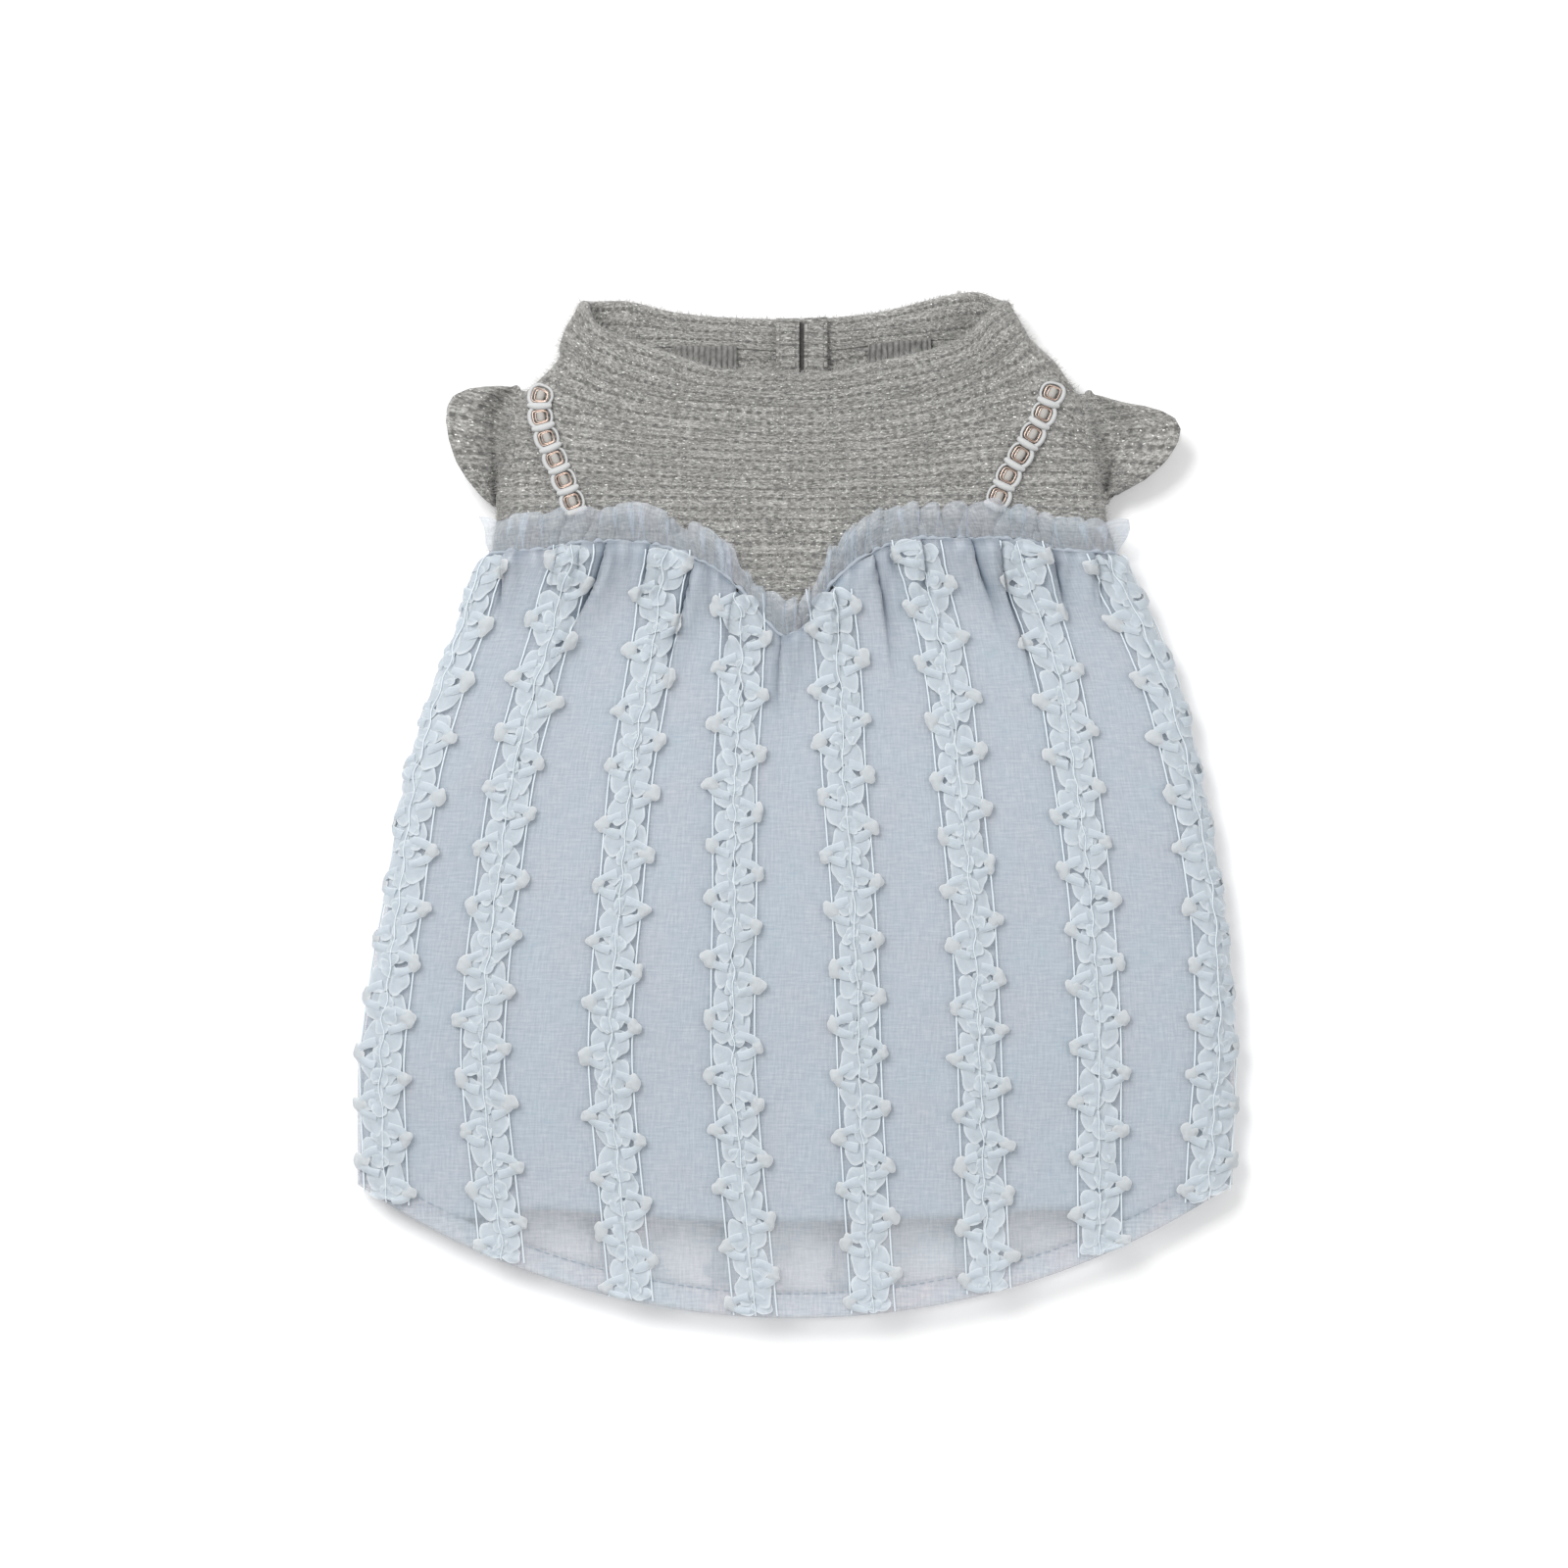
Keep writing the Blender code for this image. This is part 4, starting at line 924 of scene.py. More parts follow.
def chiffon(name, light, dark, alpha, paints_fold_shade=False):
    sheer = new_material(name)
    cut = add_node(sheer, "UVMap", uv_map="cut")
    threads = []
    for (width, height), seed in ((CHIFFON_SLUB, 3.0), (CHIFFON_SLUB[::-1], 7.0)):
        feeds = {"Vector": cut, "Scale": (1 / width, 1 / height, 1), "Location": (seed, seed, 0)}
        place = add_node(sheer, "Mapping", feeds)
        feeds = {"Vector": place, "Scale": 1.0, "Detail": 3.0, "Roughness": 0.65}
        threads.append(add_node(sheer, "TexNoise", feeds))
    grid = add_node(sheer, "Math", {0: threads[0], 1: threads[1]}, operation="ADD")
    grid = add_node(sheer, "MapRange", {0: grid, 1: 0.72, 2: 1.28})
    cloud = add_node(sheer, "TexNoise", {"Vector": cut, "Scale": 1 / CLOUD, "Detail": 4.0})
    blotch = add_node(sheer, "MapRange", {0: cloud, 1: 0.35, 2: 0.65})
    mix = {0: grid, 6: linear(dark), 7: linear(light)}
    tint = add_node(sheer, "Mix", mix, 2, data_type="RGBA")
    mix = {0: 1.0, 6: tint, 7: ROSY}
    rosy = add_node(sheer, "Mix", mix, 2, data_type="RGBA", blend_type="MULTIPLY")
    colour = add_node(sheer, "Mix", {0: blotch, 6: tint, 7: rosy}, 2, data_type="RGBA")
    cover = add_node(sheer, "MapRange", {0: grid, 3: alpha - 0.07, 4: alpha + 0.07})
    # Painted shade: in the pleat folds and under the seam the colour darkens towards a deep
    # blue-grey, and the doubled cloth there is also denser.
    if paints_fold_shade:
        shade_depth = add_node(sheer, "SeparateXYZ", {0: add_node(sheer, "UVMap", uv_map="fold")})
        deep = add_node(sheer, "Math", {0: shade_depth, 1: 0.8}, operation="MULTIPLY")
        mix = {0: deep, 6: colour, 7: linear("#75899b")}
        colour = add_node(sheer, "Mix", mix, 2, data_type="RGBA")
        feeds = {0: shade_depth, 1: 0.42, 2: cover}
        cover = add_node(sheer, "Math", feeds, operation="MULTIPLY_ADD")
    bump = add_node(sheer, "Bump", {"Strength": 0.35, "Distance": 0.12 * MM, "Height": grid})
    feeds = {
        "Base Color": colour,
        "Roughness": 0.8,
        "Sheen Weight": 0.15,
        "Specular IOR Level": 0.2,
        "Normal": bump,
    }
    return close_thin_cloth(sheer, feeds, cover)


slub_chiffon = chiffon("slubby sheer chiffon", "#e7ecf0", "#cbd5de", 0.46, paints_fold_shade=True)
places = tube_places(460, 80)
share = np.linspace(0, 1, SKIRT_ROWS + 1)[:, None] ** 1.15
top = seam_y(places)
y = top + share * (hem_y(places) - top)
turn_y = hem_y(places) + np.array(HEM_TURNS)[:, None] * MM
inset = np.where(np.arange(len(HEM_TURNS)) < 7, 0.10, 0.22)[:, None] * MM
turned = cloth(places, turn_y, LINING_GAP - inset)
points = np.concatenate([chiffon_face(places, y), turned])
uv = uv_of(places, np.concatenate([y, turn_y]), SKIRT_HALF)
skirt = add_sheet("skirt_chiffon", points, uv, closed=True)
# The fold layer carries each place's painted fold shade to the chiffon's material.
shade_depth = fold_shade_and_depth(np.append(places, 3.0), uv[..., 1])
fold = face_corners(np.stack([shade_depth, 0 * shade_depth], -1))
skirt.data.uv_layers.new(name="fold").data.foreach_set("uv", fold.ravel())
wear(skirt, slub_chiffon, "chiffon", "skirt")
# Spun polyester thread, a shade darker than the chiffon, so each stitch reads as a short dash.
sewing_thread = plain_cloth("sewing thread", "#8fa0ad", 0.6, (0.3 * MM, 0.3 * MM), 0.1)
hem_stitches = []
for side in (0, 2):
    for at in np.arange(-0.985, 0.985, 0.0205):
        place = side + np.array([at, at + 0.0125])
        line = cloth(place, hem_y(place) + HEM_WIDTH, LINING_GAP + 0.42 * MM)
        hem_stitches.append(rod(line, 0.12 * MM, 5))
wear(join_parts("hem_stitches", hem_stitches), sewing_thread, "chiffon")

# Frill
# The skirt's own heading, a narrow strip of the chiffon left standing above the gathering seam. It
# is pulled up into small pleats that lean over one another on the knit.
FRILL_HEIGHT = 9.7 * MM
FRILL_COLUMNS = 2900
FINE_PLEAT = 2.9 * MM
WIDE_PLEAT = 6.6 * MM
fine = np.linspace(-0.997, 0.997, 2401)
line = cloth(fine, seam_y(fine))
lengths = np.concatenate([[0], np.cumsum(np.linalg.norm(np.diff(line, axis=0), axis=1))])
seam_length = lengths[-1]
along = np.linspace(0, seam_length, FRILL_COLUMNS)


def uneven(size, seed):
    """Smooth irregular waves along the seam, from -1 to 1."""
    return ripple(along, 0 * along, size, seed)


warp = 3.0 * MM * uneven(34 * MM, 43) + 1.3 * MM * uneven(11 * MM, 44)
bunch = 0.75 + 0.55 * uneven(15 * MM, 47)
rise = FRILL_HEIGHT * (0.91 + 0.17 * uneven(13 * MM, 46))
rows = []
frill_uv = []
for share in np.linspace(1, 0, 15):
    slant = share * 3.4 * MM * uneven(36 * MM, 45)
    fine_turn = math.tau * (along + warp + slant) / FINE_PLEAT
    wide_turn = math.tau * (along + 1.4 * warp + slant * 1.3) / WIDE_PLEAT
    spread = ease(0.0, 0.9, share)
    shift = 0.75 * MM * (1 - 0.35 * spread) * bunch * np.sin(fine_turn)
    shift = shift + 2.3 * MM * spread * np.sin(wide_turn)
    across = np.interp(np.clip(along + shift, 0, seam_length), lengths, fine)
    crest = 0.35 * MM * np.cos(fine_turn) * share**2 + 1.2 * MM * share**2 * np.cos(wide_turn)
    y = seam_y(across) + 0.3 * MM + rise * share + crest
    out = 0.5 * MM + 0.8 * MM * (1 + np.cos(fine_turn)) * (0.6 + 0.2 * share) * bunch
    out += 1.5 * MM * spread * (1 + np.cos(wide_turn)) + 0.7 * MM * math.sin(math.pi * share)
    row = cloth(across, y, out)
    lean = 1.1 * MM * spread * np.cos(wide_turn + 1.0)
    flare = np.sign(across) * 2.0 * MM * share * ease(0.95, 1.0, np.abs(across))
    row[:, 0] += lean + flare
    rows.append(row)
    frill_uv.append(np.stack([along * 1.9, 0 * along + share * FRILL_HEIGHT], -1))
# The same chiffon in two layers, so it is paler in its folds and denser than the skirt's face.
frill_chiffon = chiffon("gathered sheer chiffon", "#e6eff6", "#c6d3df", 0.50)
frill = add_sheet("frill_chiffon", np.stack(rows), np.stack(frill_uv))
wear(frill, frill_chiffon, "chiffon", "frill")


# Gathering seam
# The skirt and frill meet at a puckered line of stitching that stands up like a thin cord.
across = np.interp(np.linspace(1 * MM, seam_length - 1 * MM, 900), lengths, fine)
pucker = ripple(across * CHEST_HALF, across * 0, 3.2 * MM, 51)
line = cloth(across, seam_y(across) + 0.30 * MM * pucker, 1.2 * MM + 0.2 * MM * pucker)
seam_cord = join_parts("gathering_seam", [rod(line, (0.50 + 0.16 * pucker) * MM, 8)])
wear(seam_cord, chiffon("puckered chiffon seam", "#d6e0e8", "#bfcbd5", 0.95), "chiffon")
stitches = []
for at in np.arange(2 * MM, seam_length - 2 * MM, 2.3 * MM):
    place = np.interp([at, at + 1.3 * MM], lengths, fine)
    stitches.append(rod(cloth(place, seam_y(place) - 0.9 * MM, 1.75 * MM), 0.13 * MM, 5))
wear(join_parts("gathering_stitches", stitches), sewing_thread, "chiffon")
# Ribbon bands
# Tapes of crinkled organza ribbon: petals lie in pairs either side of a fine thread between two
# silvery cords, and loops reach out to a puffed knot on the left or right cord by turns. They are
# sewn to the chiffon from the seam to the hem, in front and under the dress.
PETAL_PITCH = 15.7
BAND_END = 4.0
CORD_SIDE = 6.0
FRONT_BANDS = (
    # across at the seam, halfway and at the hem; first knot's side
    (-0.985, -0.965, -0.935, 1),
    (-0.725, -0.740, -0.670, -1),
    (-0.430, -0.440, -0.375, 1),
    (-0.185, -0.160, -0.090, -1),
    (0.075, 0.128, 0.180, 1),
    (0.370, 0.405, 0.445, -1),
    (0.680, 0.690, 0.700, 1),
    (0.950, 0.975, 0.945, -1),
)
BACK_BANDS = (-0.70, -0.42, -0.14, 0.14, 0.42, 0.70)
BACK_PRESS = 0.3
GIRTH_STEP = 4 * MM
girths = {}


def walk(place, y, distance):
    """The places this far along the cloth from other places, at each height."""
    place, y, distance = np.broadcast_arrays(place, y, distance)
    moved = np.empty(place.shape)
    level = np.round(y / GIRTH_STEP).astype(int)
    for key in np.unique(level):
        if key not in girths:
            at = np.concatenate([tube_places(160, 120), [3.0]])
            at = np.concatenate([at - 4, at, at + 4])
            once = np.where(at < -1, at + 4, np.where(at > 3, at - 4, at))
            ring = cloth(once, key * GIRTH_STEP)
            run = np.linalg.norm(np.diff(ring, axis=0), axis=1)
            girths[key] = at, np.concatenate([[0], np.cumsum(run)])
        at, run = girths[key]
        here = level == key
        start = np.interp(place[here], at, run)
        moved[here] = np.interp(start + distance[here], run, at)
    return np.where(moved > 3, moved - 4, np.where(moved < -1, moved + 4, moved))


square_u, square_v = np.meshgrid(np.linspace(-1, 1, 9), np.linspace(-1, 1, 9), indexing="ij")
disc_u = square_u * np.sqrt(1 - square_v**2 / 2)
disc_v = square_v * np.sqrt(1 - square_u**2 / 2)
disc = np.stack([disc_u, disc_v], -1)


def petal(rng, middle, half, angle=0.0, tilt=(0.0, 0.0), dome=0.0, crumple=0.12, lobes=0.06):
    """A rounded scrap of ribbon as (side, down, height) in mm."""
    turn = np.arctan2(disc_v, disc_u)
    size = np.hypot(disc_u, disc_v)
    phase = rng.uniform(0, math.tau, 4)
    edge = np.sin(2 * turn + phase[0]) + 0.8 * np.sin(3 * turn + phase[1])
    edge = 1 + lobes * (edge + 0.5 * np.sin(5 * turn + phase[3]))
    side = disc_u * half[0] * edge
    down = disc_v * half[1] * edge
    height = middle[2] + tilt[0] * disc_u + tilt[1] * disc_v
    height = height + dome * np.sqrt(np.maximum(1.02 - size**2, 0))
    height = height + crumple * size * np.sin(3 * turn + phase[2] + 2 * size)
    c, s = math.cos(angle), math.sin(angle)
    grid = np.stack([middle[0] + side * c - down * s, middle[1] + side * s + down * c, height], -1)
    return grid, disc


def ribbon_strip(rng, path, width, crumple=0.18):
    """A strip of ribbon along (side, down, height) points in mm, its edges curled unevenly."""
    path = np.asarray(path, float)
    at = np.linspace(0, len(path) - 1, 19)
    line = np.stack([np.interp(at, range(len(path)), path[:, i]) for i in range(3)], -1)
    for _ in range(3):
        line[1:-1] = (line[:-2] + 2 * line[1:-1] + line[2:]) / 4
    run = np.gradient(line, axis=0)[:, :2]
    run /= np.linalg.norm(run, axis=1, keepdims=True)
    over = np.linspace(-1, 1, 7)
    half = np.interp(at, range(len(path)), width)[:, None] / 2
    wave = rng.uniform(0, math.tau, 2)
    half = half * (1 + 0.12 * np.sin(at[:, None] * 2.1 + wave[0]))
    side = line[:, :1] - run[:, 1:] * half * over
    down = line[:, 1:2] + run[:, :1] * half * over
    curl = crumple * over * np.sin(at[:, None] * 1.9 + wave[1])
    height = line[:, 2:] + 0.35 * (1 - over**2) + curl
    uv = np.stack(np.broadcast_arrays(over, 0 * at[:, None]), -1)
    return np.stack([side, down, height], -1), uv


def band_parts(number, length, side):
    """A band laid straight, as grids of (side, down, height) in mm with texture places.

    The draws of each scrap stay in this order, because every band has its own fixed seed.
    """
    rng = np.random.default_rng(100 + number)
    scraps, knots = [], []
    full = length / MM
    count = round((full - 2 * BAND_END) / (PETAL_PITCH / 2))
    half_pitch = (full - 2 * BAND_END) / count
    # Petals in pairs, between one knot and the next.
    for k in range(count + 2):
        inner = 0 < k < count + 1
        down = BAND_END + (k - 0.5) * half_pitch if inner else (2.7 if k == 0 else full - 2.7)
        for part in (-1, 1):
            across = part * rng.uniform(2.1, 2.7)
            middle = (across, down + rng.uniform(-0.8, 0.8), rng.uniform(0.5, 0.7))
            half = (rng.uniform(2.5, 3.1), rng.uniform(4.0, 4.8) if inner else 2.5)
            tilt = (-part * rng.uniform(-0.2, 0.5), rng.uniform(0.25, 0.6))
            lean = part * rng.uniform(-0.15, 0.3)
            scraps.append(petal(rng, middle, half, lean, tilt, 0.2, 0.3, 0.09))
    # Small scraps over the thread, a loop to one side, and a puffed knot on the cord.
    for k in range(count + 1):
        down = BAND_END + k * half_pitch + (rng.uniform(-0.8, 0.8) if 0 < k < count else 0)
        for _ in range(rng.integers(1, 3)):
            across = rng.uniform(-1.4, 1.4)
            middle = (across, down + rng.uniform(-1.6, 1.6), rng.uniform(0.95, 1.2))
            half = (rng.uniform(1.5, 2.3), rng.uniform(2.0, 3.0))
            tilt = rng.uniform(-0.35, 0.35, 2)
            scraps.append(petal(rng, middle, half, rng.uniform(-0.9, 0.9), tilt, 0.15, 0.25, 0.12))
        knot = side * rng.uniform(5.8, 6.7)
        span = rng.uniform(1.8, 2.6)
        arm = ((side * 1.4, 1.3, 1.05), (side * 3.6, 1.1, 1.05), (knot * 0.93, 0.6, 1.0))
        loop = [(across, down - span * out, height) for across, out, height in arm]
        loop.append((knot, down, 0.95))
        loop += [(across, down + span * out, height) for across, out, height in reversed(arm)]
        scraps.append(ribbon_strip(rng, loop, (2.6, 2.3, 2.2, 2.4, 2.2, 2.3, 2.6)))
        middle = (knot * 1.02, down + rng.uniform(-0.5, 0.5), 0.8)
        half = (rng.uniform(1.6, 2.3), rng.uniform(1.9, 2.7))
        knots.append(petal(rng, middle, half, side * 0.1, (0, 0), 0.75, 0.2, 0.12))
        side = -side
    return scraps, knots


def lay_band(place_at, top_y, bottom_y, grid, upper):
    """Put a band's points, in mm along and across it, on the skirt, and keep them off its hem."""
    side, down, height = np.moveaxis(grid * MM, -1, 0)
    y = top_y - down
    across = place_at(np.clip(down / (top_y - bottom_y), 0, 1))
    if upper:
        place = walk(across, y, side)
        edge = hem_y(place) - 1.0 * MM
    else:
        x = middle_x(y) + half_width(y) * across + side
        edge = hem_y((x - middle_x(y)) / half_width(y)) + 1.5 * MM
    y = edge + 2 * MM * np.logaddexp(0, (y - edge) / (2 * MM))
    if not upper:
        return np.stack([x, y, 1.0 * MM - height], -1)
    lift, push = stand_off(place, y)
    points = cloth(place, y, LINING_GAP + 0.4 * MM + lift + height)
    points[..., 0] += push
    return points


def ribbon(name, colour, rim, alpha):
    """Crinkled organza ribbon: thin scraps whose cut edges look denser and whiter."""
    material = new_material(name)
    cut = add_node(material, "UVMap", uv_map="cut")
    size = add_node(material, "VectorMath", {0: cut}, 1, operation="LENGTH")
    edge = add_node(material, "MapRange", {0: size, 1: 0.75, 2: 1.0})
    place = add_node(material, "TexCoord", output="Object")
    feeds = {"Vector": place, "Scale": 1 / (2.5 * MM), "Detail": 3.0}
    crush = add_node(material, "TexNoise", feeds)
    mix = {0: edge, 6: linear(colour), 7: linear(rim)}
    tint = add_node(material, "Mix", mix, 2, data_type="RGBA")
    cover = add_node(material, "MapRange", {0: edge, 3: alpha, 4: min(alpha + 0.14, 1)})
    bump = add_node(material, "Bump", {"Strength": 0.7, "Distance": 0.6 * MM, "Height": crush})
    feeds = {
        "Base Color": tint,
        "Roughness": 0.6,
        "Sheen Weight": 0.1,
        "Specular IOR Level": 0.3,
        "Normal": bump,
    }
    return close_thin_cloth(material, feeds, cover, 0.40)


# Crinkled organza, matt and off-white blue; the knots hold more layers and look warmer. The cords
# are rayon with a soft silvery gloss.
organza = ribbon("crinkled organza ribbon", "#d7dfe5", "#e6ebee", 0.88)
puffed_organza = ribbon("puffed organza knots", "#d8dcde", "#e3e4e4", 0.93)
cord_thread = plain_cloth("silvery ribbon cord", "#dbe4ea", 0.45, (0.3 * MM, 1.2 * MM), 0.14)
for number, (seam_place, middle_place, hem_place, side) in enumerate(FRONT_BANDS, start=1):
    place_at = curve_through([(0.0, seam_place), (0.5, middle_place), (1.0, hem_place)])
    top_y = float(seam_y(seam_place)) - 0.5 * MM
    bottom_y = float(hem_y(hem_place)) - 0.8 * MM
    length = top_y - bottom_y
    scraps, knots = (
        [(lay_band(place_at, top_y, bottom_y, grid, True), uv, False) for grid, uv in parts]
        for parts in band_parts(number, length, side)
    )
    band = join_parts(f"band_front_{number}_ribbon", scraps)
    wear(band, organza, "ribbon", f"band_front_{number}")
    wear(join_parts(f"band_front_{number}_knots", knots), puffed_organza, "ribbon")
    down = np.linspace(0, length / MM, 220)
    sway = 0.5 * ripple(down, 0 * down, 9.0, number)
    cords = []
    for line, radius, height in (
        (0 * down - CORD_SIDE, 0.24, 0.30),
        (0 * down + CORD_SIDE, 0.24, 0.30),
        (sway, 0.15, 1.55),
    ):
        line = np.stack([line, down, height + 0 * down], -1)
        cords.append(rod(lay_band(place_at, top_y, bottom_y, line, True), radius * MM, 6))
    wear(join_parts(f"band_front_{number}_cords", cords), cord_thread, "ribbon")
for number, across in enumerate(BACK_BANDS, start=1):
    place_at = curve_through([(0.0, across), (1.0, across)])
    top_y, bottom_y = WAIST_Y - 2 * MM, float(hem_y(across)) - 1 * MM
    length = top_y - bottom_y
    scraps, knots = band_parts(20 + number, length, 1)
    # Every other point is enough for scraps that lie pressed flat and hidden.
    parts = [
        (
            lay_band(place_at, top_y, bottom_y, grid[::2, ::2] * (1, 1, BACK_PRESS), False),
            uv[::2, ::2],
            False,
        )
        for grid, uv in scraps + knots
    ]
    down = np.linspace(0, length / MM, 60)
    for side in (-CORD_SIDE, CORD_SIDE):
        line = np.stack([side + 0 * down, down, 0.5 + 0 * down], -1)
        parts.append(rod(lay_band(place_at, top_y, bottom_y, line, False), 0.28 * MM, 6))
    band = join_parts(f"band_back_{number}_ribbon", parts)
    wear(band, organza, "ribbon", f"band_back_{number}")

# Straps
# Two decorative braids from the frill to the shoulders: rings of off-white cord, each with a bent
# rose-gold wire round a wrapped core, joined by a smooth knot.
STRAP_ROUTES = (
    # name, across at five places, end as a share of TOP_LENGTH down
    ("left", (-0.735, -0.775, -0.820, -0.875, -0.945), 0.365),
    ("right", (0.630, 0.680, 0.745, 0.825, 0.935), 0.355),
)
STRAP_LOOPS = 6
KNOT_HALF = 3.1
# Rayon gimp cord, off-white with a soft gloss, over a core wrapped in matt beige yarn.
cord_ivory = plain_cloth("off-white braid cord", "#c0c1c1", 0.55, (0.4 * MM, 0.8 * MM), 0.12)
core_beige = plain_cloth("beige wrapped core", "#aaa6a1", 0.6, (0.35 * MM, 1.5 * MM), 0.25)
# Rose-gold plated wire, drawn smooth and a little brushed, so it glints softly along its bends.
wire = new_material("rose gold wire")
feeds = {"Base Color": linear("#dbc2b4"), "Metallic": 1.0, "Roughness": 0.35}
close_material(wire, add_node(wire, "BsdfPrincipled", feeds))
for name, places_across, end_down in STRAP_ROUTES:
    route = curve_through([(i / 4, a) for i, a in enumerate(places_across)])
    start_y = float(seam_y(places_across[0])) + FRILL_HEIGHT - 1.0 * MM
    end_y = TOP_Y - TOP_LENGTH * end_down
    outer_side = 1 if name == "right" else -1

    def strap_point(share, side, height):
        """Points beside the strap's middle line, on the knit."""
        share, side, height = np.broadcast_arrays(share, side, height)
        spots = [np.maximum(share - 0.02, 0), share, np.minimum(share + 0.02, 1)]
        ys = [start_y + (end_y - start_y) * at for at in spots]
        xs = [middle_x(y) + half_width(y) * route(at) for at, y in zip(spots, ys)]
        run_x, run_y = xs[2] - xs[0], ys[2] - ys[0]
        size = np.hypot(run_x, run_y)
        x = xs[1] + side * run_y / size
        y = ys[1] - side * run_x / size
        across = np.clip((x - middle_x(y)) / half_width(y), -0.999, 0.999)
        return cloth(across, y, height)

    share = np.linspace(0, 1, 60)
    middle_line = strap_point(share, 0 * share, 0.0)
    span = float(np.linalg.norm(np.diff(middle_line, axis=0), axis=1).sum())
    pitch = span / STRAP_LOOPS
    turn = np.linspace(0, math.tau, 32, endpoint=False)

    def loop_path(middle, half_w, half_h, corner, shift, height):
        """A rounded rectangle round a place on the strap."""
        wide = np.sign(np.cos(turn)) * np.abs(np.cos(turn)) ** corner
        tall = np.sign(np.sin(turn)) * np.abs(np.sin(turn)) ** corner
        at = middle + tall * half_h * pitch / span
        return strap_point(at, (wide * half_w + shift) * MM, height * MM)

    cords, cores, wires = [], [], []
    for loop in range(STRAP_LOOPS):
        middle = (loop + 0.5) / STRAP_LOOPS
        thick = (0.40 + 0.30 * np.maximum(outer_side * np.cos(turn), 0)) * MM
        cords.append(rod(loop_path(middle, 3.0, 0.46, 0.8, 0.0, 0.7), thick, 7, closed=True))
        for half_w, half_h, shift, height, radius in (
            (1.95, 0.29, -0.1, 1.2, 0.15),
            (1.55, 0.24, 0.25, 1.35, 0.11),
        ):
            line = loop_path(middle, half_w, half_h, 0.5, shift, height)
            wires.append(rod(line, radius * MM, 6, closed=True))
        inner = np.linspace(-1, 1, 11)
        barrel = strap_point(middle + 0.26 * inner * pitch / span, 0.0 * inner, 0.75 * MM)
        cores.append(rod(barrel, 1.12 * np.sqrt(np.maximum(1.05 - inner**4, 0)) * MM, 12))
        side = np.linspace(-KNOT_HALF, KNOT_HALF, 17)
        bow = 0.06 * (side / KNOT_HALF) ** 2
        at = loop / STRAP_LOOPS + bow * pitch / span
        knot = strap_point(at, side * MM, (0.75 + 0.45 * np.cos(side / 2.2)) * MM)
        thick = 1.05 * (1 - 0.45 * np.abs(side / KNOT_HALF) ** 3)
        cords.append(rod(knot, thick * MM, 12))
    wear(join_parts(f"strap_{name}_cord", cords), cord_ivory, "braid", f"strap_{name}")
    wear(join_parts(f"strap_{name}_cores", cores), core_beige, "braid")
    wear(join_parts(f"strap_{name}_wires", wires), wire, "braid")

# Brushed fibres
# The knit is brushed, so short pale hairs stand off it everywhere and blur its outline.
HAIRS = 15000
EDGE_HAIRS = 9000
TOP_SHARE = 0.12
HAIR_HALF = 0.035 * MM
rng = np.random.default_rng(71)
anywhere = rng.uniform(-1, 3, HAIRS)
at_folds = rng.choice([-1.0, 1.0], EDGE_HAIRS) * (1 + rng.normal(0, 0.03, EDGE_HAIRS))
place = np.concatenate([anywhere, at_folds])
place = np.where(place < -1, place + 4, place)
low, high = seam_y(place) + 1 * MM, collar_edge_y(place) - 0.5 * MM
root_y = low + (high - low) * rng.uniform(0, 1, place.size)
on_collar = root_y > neck_seam_y(place)
top_hairs = (rng.uniform(0, 1, place.size) < TOP_SHARE) & (np.arange(place.size) < HAIRS)
root_y = np.where(top_hairs, high + 0.3 * MM, root_y)
surface_out = np.where(on_collar | top_hairs, COLLAR_DOUBLING, 0.0)
root = cloth(place, root_y, surface_out)
normal = cloth(place, root_y, surface_out + 1.0 * MM) - root
normal /= np.linalg.norm(normal, axis=1, keepdims=True)
up_hill = np.where(top_hairs[:, None], np.array([[0.0, 1.2, 0.0]]), 0.0)
away = normal * rng.uniform(0.25, 1.0, (place.size, 1)) + up_hill
away = away + rng.normal(0, 0.65, (place.size, 3)) * (1, 1, 0.35)
away /= np.linalg.norm(away, axis=1, keepdims=True)
length = rng.uniform(0.7, 2.1, (place.size, 1)) * MM
side = np.cross(away, rng.normal(0, 1, (place.size, 3)))
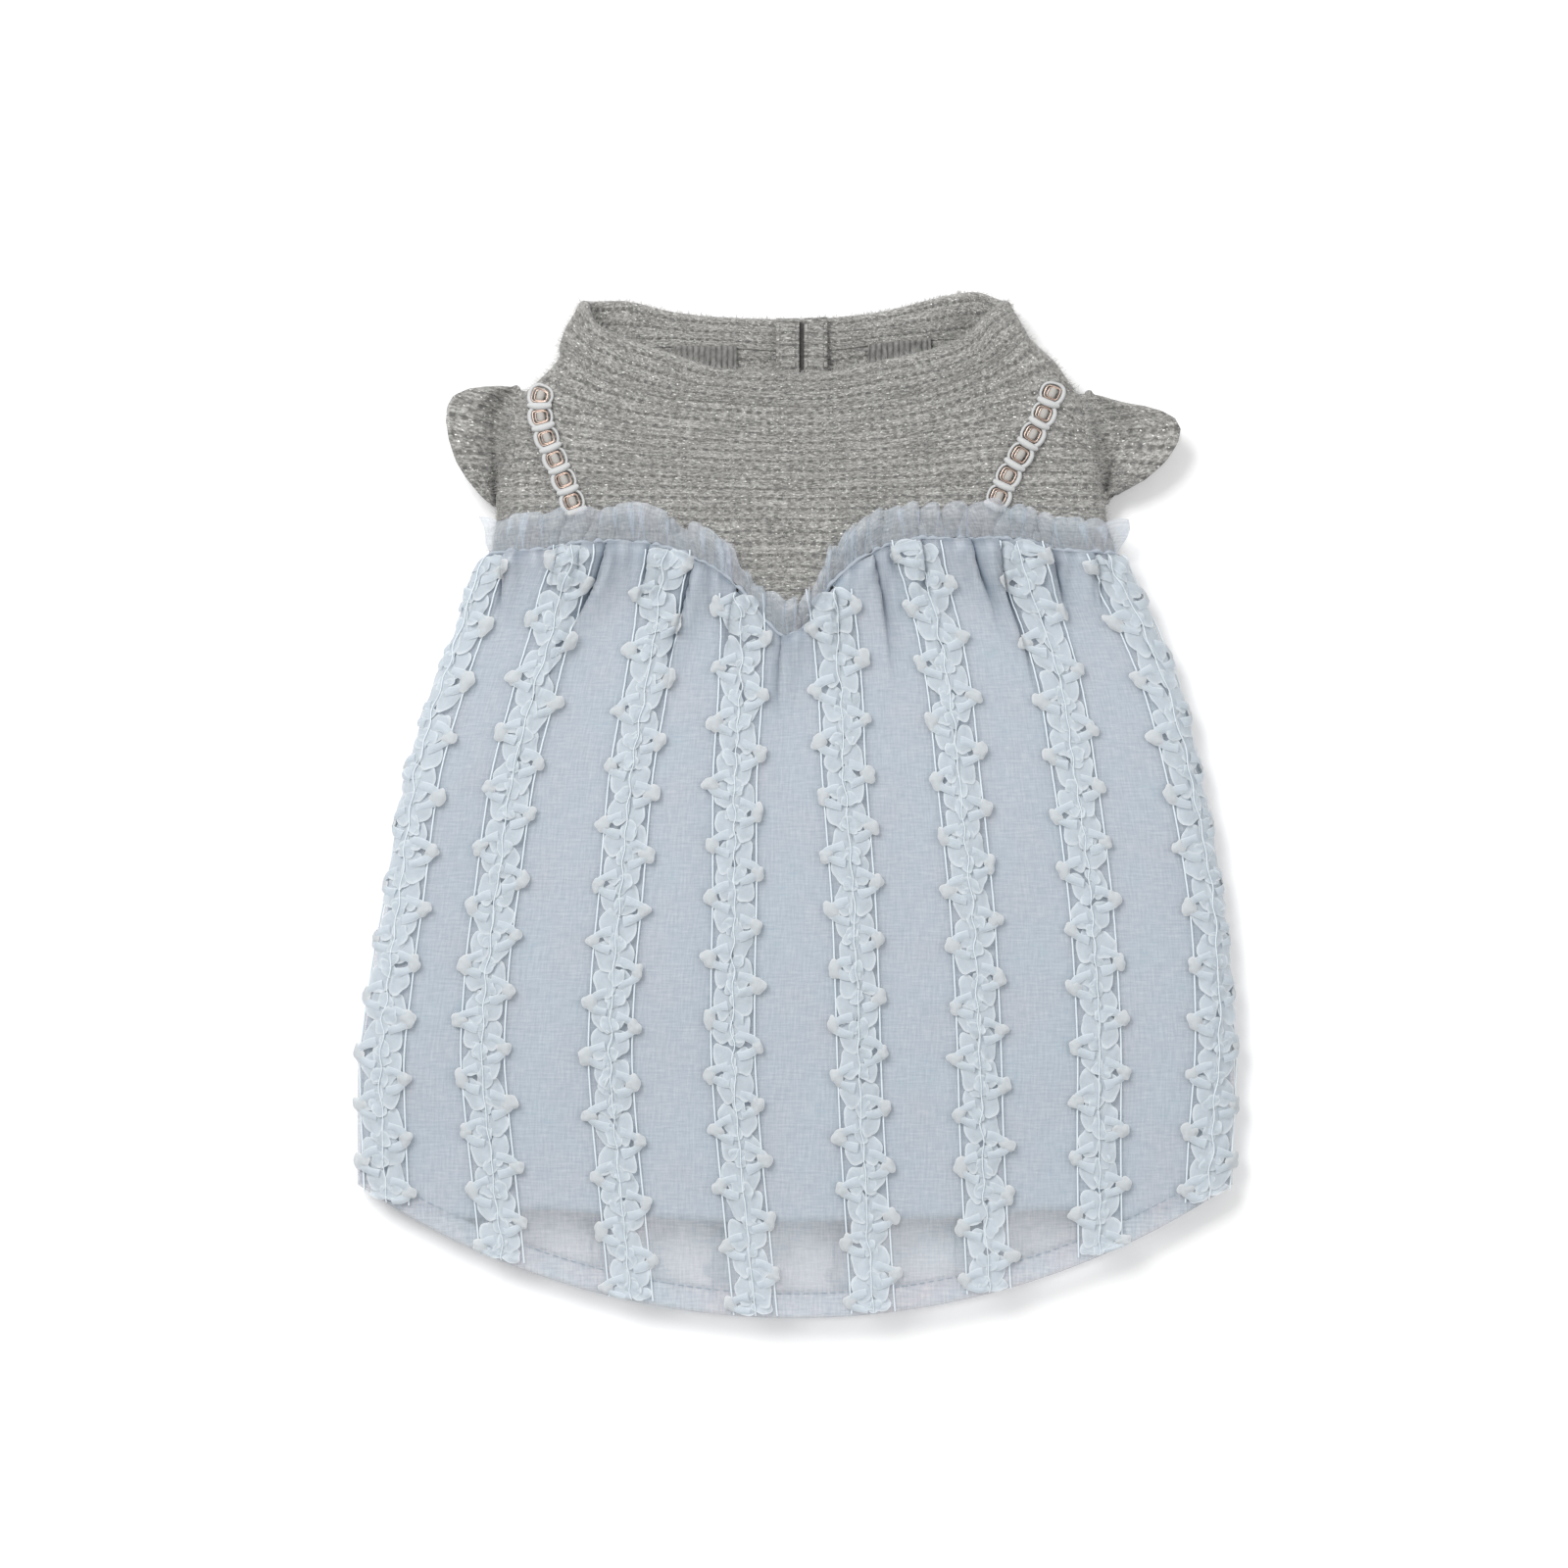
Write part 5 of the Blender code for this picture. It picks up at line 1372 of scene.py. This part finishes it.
side /= np.linalg.norm(side, axis=1, keepdims=True)
bend = rng.normal(0, 0.35, (place.size, 3)) * length
middle = root + away * length * 0.55 + bend * 0.4
tip = root + away * length + bend
middle[:, 2] = np.maximum(middle[:, 2], FLOOR_GAP)
tip[:, 2] = np.maximum(tip[:, 2], FLOOR_GAP)
edge = side * HAIR_HALF
points = np.stack([root - edge, root + edge, middle + edge, middle - edge, tip], 1)
index = 5 * np.arange(place.size)[:, None]
faces = (index + [0, 1, 2, 3]).tolist() + (index + [3, 2, 4]).tolist()
# Wool hair, pale where light passes through its tip, matt with a faint sheen.
hair = new_material("brushed wool hair")
feeds = {"Base Color": linear("#a9a8a5"), "Roughness": 0.7, "Sheen Weight": 0.2}
close_material(hair, add_node(hair, "BsdfPrincipled", feeds))
wear(add_piece("knit_hairs", points, faces), hair, "knit")

# Floor and light
# A plain white sweep and broad soft light from all round, a little stronger from the top left.
FLOOR_HALF = 9.0
corners = np.array([(-1, -1, 0), (1, -1, 0), (1, 1, 0), (-1, 1, 0)]) * FLOOR_HALF
floor = add_piece("floor", corners, [(0, 1, 2, 3)])
paper = new_material("matt white paper")
feeds = {"Base Color": linear("#fcfcfc"), "Roughness": 0.95}
close_material(paper, add_node(paper, "BsdfPrincipled", feeds))
floor.data.materials.append(paper)

world = bpy.data.worlds.new("soft room")
world.use_nodes = True
room = world.node_tree.nodes["Background"].inputs
room["Color"].default_value = linear("#ffffff")
room["Strength"].default_value = 0.58
bpy.context.scene.world = world
for name, place, size, power in (
    ("softbox above left", (-0.85, 0.95, 1.5), 0.9, 31),
    ("softbox right", (1.2, 0.1, 1.5), 1.2, 11),
):
    light_data = bpy.data.lights.new(name, "AREA")
    light_data.size = size
    light_data.energy = power
    light = bpy.data.objects.new(name, light_data)
    light.location = place
    tip_over = math.atan2(math.hypot(place[0], place[1]), place[2])
    light.rotation_euler = (tip_over, 0, math.atan2(place[0], -place[1]))
    stage.objects.link(light)
bpy.context.scene.view_settings.view_transform = "Standard"
